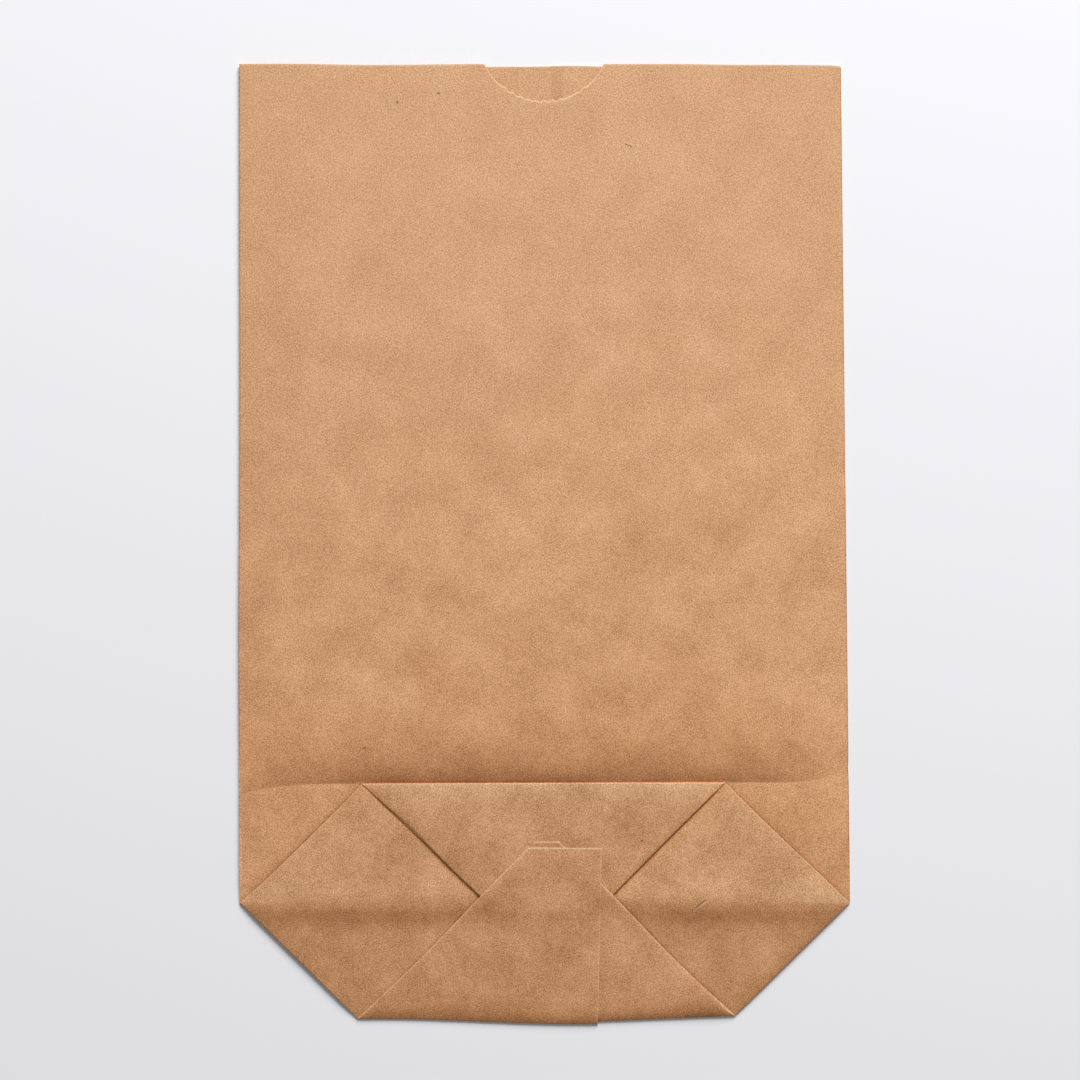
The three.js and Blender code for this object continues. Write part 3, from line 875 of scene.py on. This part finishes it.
# %% [markdown]
# The base. The front wall turns up at the centre line and goes back under the squares to the upper
# fold, where it turns over and comes down as the upper flap. Its cut end is hidden under the lower
# flap.

# %% Turned ply and upper flap
UNDER_SPRING, OVER_SPRING, FLAP_SPRING = 3.0, 2.0, 2.6
UPPER_FLANK_SPRING = {-1: 1.8, 1: 0.6}
UPPER_WEAR_AND_HIGHLIGHT = 0.2

x, y = ruled(square_line[-1].points(square_up), square_line[1].points(square_up), across_front)
z = settled(x, y, turned_free(x, y), [
    (turn_up, TURN_SPRING), (square_upper[-1], UNDER_SPRING), (square_upper[1], UNDER_SPRING),
    (upper_flap_fold, OVER_SPRING),
])
turned_ply = laid_ply("turned_ply", x, y, z, turned_flat)

flap_left = upper_flank_line[-1].points(flank_shares)
flap_right = upper_flank_line[1].points(flank_shares)
x, y = ruled(flap_left, flap_right, across_front)
right_flank = np.maximum(upper_flank_line[1].distance(x, y), 0)
roll_deep, roll_run = ROLLS[0]
full = upper_flap_free(x, y) + roll_deep * np.exp(-right_flank / roll_run)
z = settled(x, y, full, [
    (upper_flap_fold, FLAP_SPRING), (upper_flank[-1], UPPER_FLANK_SPRING[-1]),
    (upper_flank[1], UPPER_FLANK_SPRING[1]),
])
# The pale line along the upper fold is partly wear and partly a painted highlight.
upper_flap = laid_ply(
    "upper_flap", x, y, z, upper_flap_flat,
    cut_edge=near(y - UPPER_TIP[1][1]), wear_and_highlight=UPPER_WEAR_AND_HIGHLIGHT * near(upper_line(x) - y),
)

# %% [markdown]
# The squares lie on their corners at each side. The part that is seen ends where a flap covers it,
# and the columns are close together there. Above and below, the rows bend to the folds at which the
# square's inner parts turn back.

# %% Squares
TIP_OUT = 4.0
BEND_POWER = 4
UPPER_EDGE_SPRING, LOWER_EDGE_SPRING = 0.9, 1.5
UPPER_TURN_SPRING, LOWER_TURN_SPRING = 1.0, 3.5
SQUARE_WEAR_AND_HIGHLIGHT = 0.55
SQUARE_PALER, PALER_RUN = 0.04, 6
# Strength and width of the painted shadow on each square beside the upper flap's flank.
PAINTED_SHADOW_BY_FLAP = {-1: 0.4, 1: 0.8}
PAINTED_SHADOW_WIDE = 0.6


def flap_over(side, y):
    shares = np.linspace(0, 1, LINE_SAMPLES)
    upper_x, upper_y = upper_flank_line[side].points(shares[::-1])
    lower_x, lower_y = lower_flank_line[side].points(shares)
    upper = side * np.interp(y, upper_y, upper_x)
    lower = side * np.interp(y, lower_y, lower_x)
    return side * np.maximum(upper, lower)


def square_ply(side):
    low_x, low_y = slant_line[side].points(square_down[::-1])
    up_x, up_y = square_line[side].points(square_up)
    edge_x = np.concatenate([low_x[:-1], up_x])
    edge_y = np.concatenate([low_y[:-1], up_y])
    rise = np.clip((edge_y - CENTRE) / (UPPER[side][1] - CENTRE), 0, 1)
    fall = np.clip((CENTRE - edge_y) / (CENTRE - LOWER[side][1]), 0, 1)
    tip_x = UPPER_TIP[side][0] * rise + LOWER_TIP[side][0] * fall + side * TIP_OUT * (1 - rise - fall)
    seen = np.maximum((flap_over(side, edge_y) - edge_x) / (tip_x - edge_x), CORNER_SHARE)[:, None]
    shares = np.concatenate([seen * seen_across[:-1], seen + (1 - seen) * hidden_across], axis=1)
    x = edge_x[:, None] + (tip_x - edge_x)[:, None] * shares
    y = np.repeat(edge_y[:, None], x.shape[1], axis=1)
    y = y + (upper_tuck_line(x) - UPPER[side][1]) * rise[:, None] ** BEND_POWER
    y = y + (lower_tuck_line(x) - LOWER[side][1]) * fall[:, None] ** BEND_POWER
    z = settled(x, y, square_free(x, y), [
        (square_upper[side], UPPER_EDGE_SPRING), (square_lower[side], LOWER_EDGE_SPRING),
        (upper_tuck_fold, UPPER_TURN_SPRING), (lower_tuck_fold, LOWER_TURN_SPRING),
    ])
    from_edge = np.minimum(square_upper[side].distance(x, y), square_lower[side].distance(x, y))
    # A pale line along the square's fold edges: partly wear, partly a painted highlight.
    edge_wear_and_highlight = SQUARE_WEAR_AND_HIGHLIGHT * near(from_edge)
    tone_depth = 1 - SQUARE_PALER * smooth((y - CENTRE) / PALER_RUN)
    # A painted shadow on the square beside the upper flap's flank, carried in the lean.
    flap_shadow_share = PAINTED_SHADOW_BY_FLAP[side] * near(-under_upper_flap(x, y), PAINTED_SHADOW_WIDE)
    return laid_ply("square", x, y, z, square_flat(side), wear_and_highlight=edge_wear_and_highlight, depth=tone_depth, painted_shadow=flap_shadow_share)


print("flaps begin at x", [round(float(flap_over(side, CENTRE)), 1) for side in (-1, 1)], "mm")

# %% [markdown]
# The inner parts of the squares are tucked under the two flaps. Each of them turns back at a fold
# just inside the flap's own fold and ends at the flap's flank. With them, both sides of the base can
# be laid.

# %% Both squares with their tucked parts
UPPER_TUCK_SPRING, LOWER_TUCK_SPRING, TUCK_FLANK_SPRING = 3.0, 5.0, 1.0


def tuck_ply(line, fold_line, free, fold, spring, flank, flat):
    slant_x, slant_y = line.points(flank_shares)
    straight_x = line.start[0] + line.along[0] * flank_shares
    x = straight_x + (slant_x - straight_x) * tuck_across[:, None]
    straight_y = fold_line(straight_x)
    y = straight_y + (slant_y - straight_y) * tuck_across[:, None]
    z = settled(x, y, free(x, y), [(fold, spring), (flank, TUCK_FLANK_SPRING)])
    return laid_ply("tuck", x, y, z, flat)


base_plies = []
for side in (-1, 1):
    base_plies.append(square_ply(side))
    base_plies.append(tuck_ply(
        upper_flank_line[side], upper_tuck_line, upper_tuck_free,
        upper_tuck_fold, UPPER_TUCK_SPRING, upper_flank[side], upper_tuck_flat(side),
    ))
    base_plies.append(tuck_ply(
        lower_flank_line[side], lower_tuck_line, lower_tuck_free,
        lower_tuck_fold, LOWER_TUCK_SPRING, lower_flank[side], lower_tuck_flat(side),
    ))

# %% [markdown]
# The lower flap is the back wall turned up over everything. It has the seam's two plies, and the
# outer one ends in a straight free edge right of the middle. Its cut edges are thin and pale.

# %% Lower flap, outer ply
LOWER_SPRING, LEFT_SPRING = 2.4, 2.0
LOWER_FLANK_SPRING = {-1: 0.7, 1: 0.6}
FOLLOW_POWER = 3
END_PALE, FREE_EDGE_PALE, THIN_EDGE = 0.75, 0.3, 0.2
OUTER_PALER, PALER_FROM, PALER_OVER = 0.05, -14, 10

outer_left = lower_flank_line[-1].points(flank_shares)
outer_right = point_rows(OUTER_EDGE_LOW, OUTER_EDGE_HIGH, flank_shares)
x, y = ruled(outer_left, outer_right, outer_across)
y = y + (lower_line(x)[0] - y[0:1]) * (1 - flank_shares[:, None]) ** FOLLOW_POWER
outer_spring = LOWER_SPRING + LEFT_SPRING * left_share(x)
z = settled(x, y, lower_flap_free(x, y), [
    (lower_flap_fold, outer_spring), (lower_flank[-1], LOWER_FLANK_SPRING[-1]),
])
end_edge = END_PALE * near(outer_right[1][-1] - y, THIN_EDGE)
free_edge = FREE_EDGE_PALE * near(outer_right[0][:, None] - x, THIN_EDGE)
# The pale line along the flank is partly wear and partly a painted highlight.
outer_flap = laid_ply(
    "lower_flap_outer", x, y, z, lower_flap_flat(-1),
    cut_edge=np.maximum(end_edge, free_edge),
    wear_and_highlight=near(lower_flank_line[-1].distance(x, y)),
    depth=1 - OUTER_PALER * smooth((x - PALER_FROM) / PALER_OVER),
)

# %% [markdown]
# The inner ply lies just under the outer one and comes up level with it past the free edge. It reaches
# a little further at the cut end, where a strip of it shows.

# %% Lower flap, inner ply
PLY_STEP, PLY_GAP = 0.12, 0.03
SEAM_SHOWS = 3
INNER_SPRING = 2.2
BEHIND_FLANK = 0.1
INNER_DEPTH, COVERED_DEPTH = 0.94, 0.06

inner_right = lower_flank_line[1].points(flank_shares)
left_y = INNER_LOW + (LOWER_TIP[1][1] - INNER_LOW) * flank_shares
(ax, ay), (bx, by) = LOWER[-1], LOWER_TIP[-1]
flank_x = ax + (left_y - ay) * (bx - ax) / (by - ay)
inner_left = (np.maximum(INNER_EDGE, flank_x + BEHIND_FLANK), left_y)
x, y = ruled(inner_left, inner_right, inner_across)
y = y + (lower_line(x)[1] - y[0:1]) * (1 - flank_shares[:, None]) ** FOLLOW_POWER
covered = 1 - smooth((x - SEAM_SIDE) / SEAM_SHOWS)
inner_free = lower_flap_free(x, y) - PLY_STEP * covered - PLY_GAP
z = settled(x, y, inner_free, [
    (inner_flap_fold, INNER_SPRING), (lower_flank[1], LOWER_FLANK_SPRING[1]),
])
# The pale line along the flank is partly wear and partly a painted highlight.
inner_flap = laid_ply(
    "lower_flap_inner", x, y, z, lower_flap_flat(1),
    cut_edge=END_PALE * near(inner_right[1][-1] - y, THIN_EDGE),
    wear_and_highlight=near(lower_flank_line[1].distance(x, y)), depth=INNER_DEPTH + COVERED_DEPTH * covered,
)

# %% [markdown]
# The plies become one sheet: they are joined, and the edges that lie on the same fold are welded.
# Welding comes before the normals are made to agree, and both come before the sheet gets its
# thickness, because a closed shell would turn its inner face round.

# %% One sheet of paper
WELD_WITHIN = 2e-6
SHARP_ANGLE = np.radians(50)

plies = [front_wall, back_outer, back_inner, turned_ply, upper_flap, *base_plies, outer_flap, inner_flap]
bpy.ops.object.select_all(action="DESELECT")
for ply in plies:
    ply.select_set(True)
bpy.context.view_layer.objects.active = front_wall
bpy.ops.object.join()
bag = bpy.context.object
bag.name = "paper_bag_sheet"
bag.data.name = "paper_bag_sheet"
before = len(bag.data.vertices)
bpy.ops.object.mode_set(mode="EDIT")
bpy.ops.mesh.select_all(action="SELECT")
bpy.ops.mesh.remove_doubles(threshold=WELD_WITHIN)
bpy.ops.mesh.normals_make_consistent(inside=False)
bpy.ops.object.mode_set(mode="OBJECT")
print("welded", before - len(bag.data.vertices), "of", before, "vertices")

thickness = bag.modifiers.new("paper", "SOLIDIFY")
thickness.thickness = PAPER * MM
thickness.offset = 0
thickness.use_even_offset = False
bpy.ops.object.modifier_apply(modifier=thickness.name)
bpy.ops.object.shade_smooth_by_angle(angle=SHARP_ANGLE)
print("sheet:", sum(len(face.vertices) - 2 for face in bag.data.polygons), "triangles")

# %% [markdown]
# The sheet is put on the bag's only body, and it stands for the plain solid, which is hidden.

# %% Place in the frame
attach(bag, "root")
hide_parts("paper_bag")
print("in the frame:", bag.name)

# %% [markdown]
# Shader nodes are easier to read as sums. This small class holds a socket; adding or multiplying
# two of them puts a Math node in between, and any other node comes from its node method.

# %% Shader sums
class Value:
    def __init__(self, tree, socket=None):
        self.tree = tree
        self.socket = socket

    def node(self, kind, settings=None, inputs=None, output=0):
        made = self.tree.nodes.new(kind)
        for name, setting in (settings or {}).items():
            setattr(made, name, setting)
        for name, value in (inputs or {}).items():
            if isinstance(value, Value):
                self.tree.links.new(value.socket, made.inputs[name])
            else:
                made.inputs[name].default_value = value
        return Value(self.tree, made.outputs[output] if made.outputs else None)

    def maths(self, operation, first, second=0.0):
        return self.node("ShaderNodeMath", {"operation": operation}, {0: first, 1: second})

    def __add__(self, other):
        return self.maths("ADD", self, other)

    def __radd__(self, other):
        return self.maths("ADD", other, self)

    def __sub__(self, other):
        return self.maths("SUBTRACT", self, other)

    def __rsub__(self, other):
        return self.maths("SUBTRACT", other, self)

    def __mul__(self, other):
        return self.maths("MULTIPLY", self, other)

    def __rmul__(self, other):
        return self.maths("MULTIPLY", other, self)


kraft = bpy.data.materials.new("kraft_paper")
kraft.use_nodes = True
kraft.node_tree.nodes.clear()
start = Value(kraft.node_tree)
sheet_uv = start.node("ShaderNodeUVMap", {"uv_map": "sheet"})
on_sheet = start.node(
    "ShaderNodeVectorMath",
    {"operation": "MULTIPLY_ADD"},
    {0: sheet_uv, 1: (SHEET_SPAN, SHEET_SPAN, 0), 2: (-SHEET_SPAN / 2, -SHEET_SPAN / 2, 0)},
)
print("sheet coordinates in millimetres are ready")

# %% [markdown]
# Kraft paper is a felt of brown fibres. Close up it has a fine salt-and-pepper grain and short
# fibres that lie mostly along the web. From further off it looks cloudy, because the fibres gather
# in flocks of a few millimetres and in wider blotches. All of these are noise textures on the flat
# sheet, in millimetres. The clouds are stronger where the tone is deeper, as on the real base.

# %% Grain, fibres and clouds
GRAIN_SIZE, FIBRE_SIZE, FLOCK_SIZE, BLOTCH_SIZE = 0.34, 0.7, 2.2, 13.0
GRAIN_SHARE, FIBRE_SHARE, FLOCK_SHARE, BLOTCH_SHARE = 1.29, 0.27, 0.17, 0.36
FIBRE_TURNS, FIBRE_SLENDER = (0.3, 1.4, 2.5), 2.1
FINE_LIGHT, FINE_DEEP = 0.82, 0.2
CLOUDS_LIGHT, CLOUDS_DEEP = 0.5, 1.05


def cloud(size, detail=2.0, rough=0.5, slender=1.0, turn=0.0):
    placed = start.node(
        "ShaderNodeMapping",
        {"vector_type": "TEXTURE"},
        {"Vector": on_sheet, "Rotation": (0, 0, turn), "Scale": (size * slender, size / slender, 1)},
    )
    return start.node(
        "ShaderNodeTexNoise",
        {"noise_dimensions": "2D"},
        {"Vector": placed, "Scale": 1.0, "Detail": detail, "Roughness": rough},
    ) - 0.5


depth = start.node("ShaderNodeAttribute", {"attribute_name": "depth"}, output=2)
cut_edge = start.node("ShaderNodeAttribute", {"attribute_name": "cut_edge"}, output=2)
wear_and_highlight = start.node("ShaderNodeAttribute", {"attribute_name": "wear_and_highlight"}, output=2)
lean = start.node("ShaderNodeAttribute", {"attribute_name": "lean"}, output=2)
grain = cloud(GRAIN_SIZE, detail=1.0, rough=0.6, turn=0.5)
fibres = cloud(FIBRE_SIZE, slender=FIBRE_SLENDER, turn=FIBRE_TURNS[0])
for turn in FIBRE_TURNS[1:]:
    fibres = fibres + cloud(FIBRE_SIZE, slender=FIBRE_SLENDER, turn=turn)
flocks = cloud(FLOCK_SIZE, rough=0.55, turn=1.1)
blotches = cloud(BLOTCH_SIZE, detail=3.0, rough=0.6, turn=0.8)
fine = GRAIN_SHARE * grain + FIBRE_SHARE * fibres
clouds = FLOCK_SHARE * flocks + BLOTCH_SHARE * blotches
shade = 1 + fine * (FINE_LIGHT + FINE_DEEP * depth) + clouds * (CLOUDS_LIGHT + CLOUDS_DEEP * depth)
print("paper textures:", len(kraft.node_tree.nodes), "nodes so far")

# %% [markdown]
# The sheet has a few marks of its own: dark specks, two stray fibres and a scratch on the right
# square. Each is a short stroke, found by its distance from a line on the flat sheet: its middle, its
# length, its angle in degrees, half its width and its strength are given. A darker stripe runs along
# the lap seam on the back wall, and is seen inside the thumb notch.

# %% Specks, stray fibres and the seam stripe
across_sheet = start.node("ShaderNodeSeparateXYZ", {}, {0: on_sheet}, output=0)
along_sheet = start.node("ShaderNodeSeparateXYZ", {}, {0: on_sheet}, output=1)
STROKE_CORE = 0.3


def stroke(middle, length, angle, width, strength):
    c, s = float(np.cos(np.radians(angle))), float(np.sin(np.radians(angle)))
    right = across_sheet - middle[0]
    up = along_sheet - middle[1]
    along = start.maths("MAXIMUM", start.maths("ABSOLUTE", right * c + up * s) - length / 2, 0.0)
    aside = up * c - right * s
    away = start.maths("SQRT", along * along + aside * aside)
    return start.node(
        "ShaderNodeMapRange",
        {"interpolation_type": "SMOOTHSTEP"},
        {"Value": away, "From Min": width, "From Max": STROKE_CORE * width, "To Max": strength},
    )


STROKES = (
    ((-39.1, 119.8), 0.1, 0, 0.48, 0.75),
    ((-27.8, 122.3), 0.1, 0, 0.48, 0.80),
    ((24.1, 108.0), 2.0, -23, 0.28, 0.60),
    ((-48.5, -56.4), 0.2, 30, 0.46, 0.70),
    ((69.7, -67.0), 2.2, -26, 0.26, 0.35),
    ((26.7, -146.6), 0.4, 20, 0.40, 0.70),
    ((82.7, -138.7), 3.2, 127.5, 0.25, 0.65),
)
SCRATCH = ((83.05, -138.45), 3.0, 127.5, 0.26, 0.5)
SEAM_STRIPE_PLACE, SEAM_STRIPE_HALF, SEAM_STRIPE_CORE = 4.7, 2.0, 1.2
marks = stroke(*STROKES[0])
for values in STROKES[1:]:
    marks = start.maths("MAXIMUM", marks, stroke(*values))
scratch = stroke(*SCRATCH)
# A darker stripe along the lap seam.
from_seam_stripe = start.maths("ABSOLUTE", across_sheet - (2 * HALF - SEAM_STRIPE_PLACE))
seam_stripe = start.node(
    "ShaderNodeMapRange",
    {"interpolation_type": "SMOOTHSTEP"},
    {"Value": from_seam_stripe, "From Min": SEAM_STRIPE_HALF, "From Max": SEAM_STRIPE_CORE},
)
print("marks:", len(STROKES) + 1)

# %% [markdown]
# The colours are put together from the sheet outwards: a light kraft that deepens towards the base,
# then the grain and clouds as a factor on it. Where they darken the paper, green falls more than red,
# and blue most of all. Then shade and light are painted in: paper that leans away from the window is
# painted a little warmer, paper that faces it a little paler and cooler, and a painted shadow dims
# the squares beside the upper flap's flanks. What lies on many plies gets dimmer too.

# %% Colour of the sheet
def blend(share, under, over):
    return start.node("ShaderNodeMix", {"data_type": "RGBA"}, {0: share, 6: under, 7: over}, output=2)


LIGHT_KRAFT = (0.598, 0.335, 0.1745, 1)
DEEP_KRAFT = (0.615, 0.312, 0.145, 1)
GREEN_FALL, BLUE_FALL = 1.3, 1.72
SEAM_STRIPE_DARKER = 0.07
MORE_RED, LESS_GREEN, LESS_BLUE = 0.3, 0.2, 0.7
MANY_FROM, MANY_FULL = 0.85, 1.0
MANY_DIMMER, PAINTED_SHADOW_DIMMER = 0.15, 0.5
tone = blend(depth, LIGHT_KRAFT, DEEP_KRAFT)
many_plies = start.node(
    "ShaderNodeMapRange", {}, {"Value": depth, "From Min": MANY_FROM, "From Max": MANY_FULL}
)
density = shade * (1 - SEAM_STRIPE_DARKER * seam_stripe)
green = start.maths("POWER", density, GREEN_FALL)
blue = start.maths("POWER", density, BLUE_FALL)
tanned = start.node("ShaderNodeCombineXYZ", {}, {0: density, 1: green, 2: blue})
coloured = start.node("ShaderNodeVectorMath", {"operation": "MULTIPLY"}, {0: tone, 1: tanned})
# Painted shadow: the lean's share above LEAN_MOST, which only the squares beside the upper flap have.
painted_shadow_share = start.maths("MAXIMUM", lean - LEAN_MOST, 0.0)
shade_tint_share = lean - painted_shadow_share
# Painted shade and light: paper that leans away from the window is tinted warmer, paper that faces it
# paler and cooler.
painted_shade_tint = start.node(
    "ShaderNodeCombineXYZ",
    {},
    {0: 1 + MORE_RED * shade_tint_share, 1: 1 - LESS_GREEN * shade_tint_share, 2: 1 - LESS_BLUE * shade_tint_share},
)
shade_tinted = start.node("ShaderNodeVectorMath", {"operation": "MULTIPLY"}, {0: coloured, 1: painted_shade_tint})
# The painted shadow dims the colour here, together with the dimming of what lies on many plies.
dimmed = 1 - MANY_DIMMER * many_plies - PAINTED_SHADOW_DIMMER * painted_shadow_share
tint = start.node("ShaderNodeVectorMath", {"operation": "SCALE"}, {0: shade_tinted, "Scale": dimmed})
print("colour of the sheet:", len(kraft.node_tree.nodes), "nodes so far")

# %% [markdown]
# On that colour come the dark marks, the scratch, pale fibres where the paper is cut, and a pale line
# along the creases, which is partly rubbed paper and partly a painted highlight. The paper is matt,
# and a slight bump lets the grain catch the light.

# %% Kraft paper
DARK_MARK = (0.13, 0.065, 0.03, 1)
PALE_SCRATCH = (0.80, 0.56, 0.36, 1)
RUBBED_AND_HIGHLIT_PAPER = (0.80, 0.54, 0.33, 1)
CUT_FIBRES = (0.93, 0.72, 0.50, 1)
RUBBED_AND_HIGHLIT_SHARE, CUT_SHARE = 0.25, 0.85
BUMP_SHARE, BUMP_HEIGHT = 0.25, 0.00006
MATT, MATT_VARIES, SHINE = 0.80, 0.10, 0.2
marked = blend(marks, tint, DARK_MARK)
scratched = blend(scratch, marked, PALE_SCRATCH)
# Pale along the creases: partly rubbed fibres, partly a painted highlight on the fold lines.
rubbed_and_highlit = blend(RUBBED_AND_HIGHLIT_SHARE * wear_and_highlight, scratched, RUBBED_AND_HIGHLIT_PAPER)
finished = blend(CUT_SHARE * cut_edge, rubbed_and_highlit, CUT_FIBRES)
bump = start.node(
    "ShaderNodeBump", {}, {"Strength": BUMP_SHARE, "Distance": BUMP_HEIGHT, "Height": grain + fibres}
)
paper = start.node(
    "ShaderNodeBsdfPrincipled",
    {},
    {
        "Base Color": finished,
        "Roughness": MATT + MATT_VARIES * flocks,
        "Specular IOR Level": SHINE,
        "Normal": bump,
    },
)
start.node("ShaderNodeOutputMaterial", {}, {"Surface": paper})
bag.data.materials.clear()
bag.data.materials.append(kraft)
print("kraft paper:", len(kraft.node_tree.nodes), "nodes")

# %% [markdown]
# The stage is a plain pale table. It is matt, so it takes the bag's soft shadow and nothing else.

# %% Floor
TABLE_SIZE, TABLE_BELOW = 6, 0.00002
PALE_TABLE = (0.825, 0.825, 0.85, 1)
TABLE_MATT, TABLE_SHINE = 0.8, 0.2

bpy.ops.object.select_all(action="DESELECT")
bpy.ops.mesh.primitive_plane_add(size=TABLE_SIZE, location=(0, 0, -TABLE_BELOW))
floor = bpy.context.object
floor.name = "table"
table = bpy.data.materials.new("pale_table")
table.use_nodes = True
shader = table.node_tree.nodes["Principled BSDF"]
shader.inputs["Base Color"].default_value = PALE_TABLE
shader.inputs["Roughness"].default_value = TABLE_MATT
shader.inputs["Specular IOR Level"].default_value = TABLE_SHINE
floor.data.materials.append(table)
print("table:", tuple(floor.dimensions))

# %% [markdown]
# One soft window-like light comes from beyond the mouth and a little to the right, and an even, dim
# sky fills the shadows. The window stands low, which is what shows the folds.

# %% Light
WINDOW_RISE = np.radians(28)
WINDOW_AWAY = 2.25
WINDOW_WIDE, WINDOW_HIGH, WINDOW_POWER = 1.54, 1.07, 90
SKY_POWER = 0.25

sky = bpy.data.worlds.new("even_sky")
sky.use_nodes = True
sky.node_tree.nodes["Background"].inputs["Color"].default_value = (1, 1, 1, 1)
sky.node_tree.nodes["Background"].inputs["Strength"].default_value = SKY_POWER
bpy.context.scene.world = sky

window = bpy.data.lights.new("window", "AREA")
window.shape = "RECTANGLE"
window.size = WINDOW_WIDE
window.size_y = WINDOW_HIGH
window.energy = WINDOW_POWER
window_object = bpy.data.objects.new("window", window)
bpy.context.collection.objects.link(window_object)
level = np.cos(WINDOW_RISE)
toward = Vector((np.sin(WINDOW_TURN) * level, np.cos(WINDOW_TURN) * level, np.sin(WINDOW_RISE)))
window_object.location = toward * WINDOW_AWAY
window_object.rotation_euler = toward.to_track_quat("Z", "Y").to_euler()
print("window at", [round(value, 2) for value in window_object.location])

# %% [markdown]
# The camera looks almost straight down from three quarters of a metre, from a little below the
# middle of the bag, so that the mouth is slightly farther away than the base.

# %% Camera
TILT = np.radians(1.585)
DISTANCE = 0.75
AIM_X, AIM_Y = -0.00105, 0.00011
LENS, SENSOR = 91.66, 36

eye = bpy.data.cameras.new("camera")
eye.lens = LENS
eye.sensor_width = SENSOR
camera = bpy.data.objects.new("camera", eye)
bpy.context.collection.objects.link(camera)
camera.location = (AIM_X, AIM_Y - DISTANCE * np.sin(TILT), DISTANCE * np.cos(TILT))
camera.rotation_euler = (TILT, 0, 0)
bpy.context.scene.camera = camera
bpy.context.scene.view_settings.view_transform = "Standard"
print("camera at", [round(value, 4) for value in camera.location])
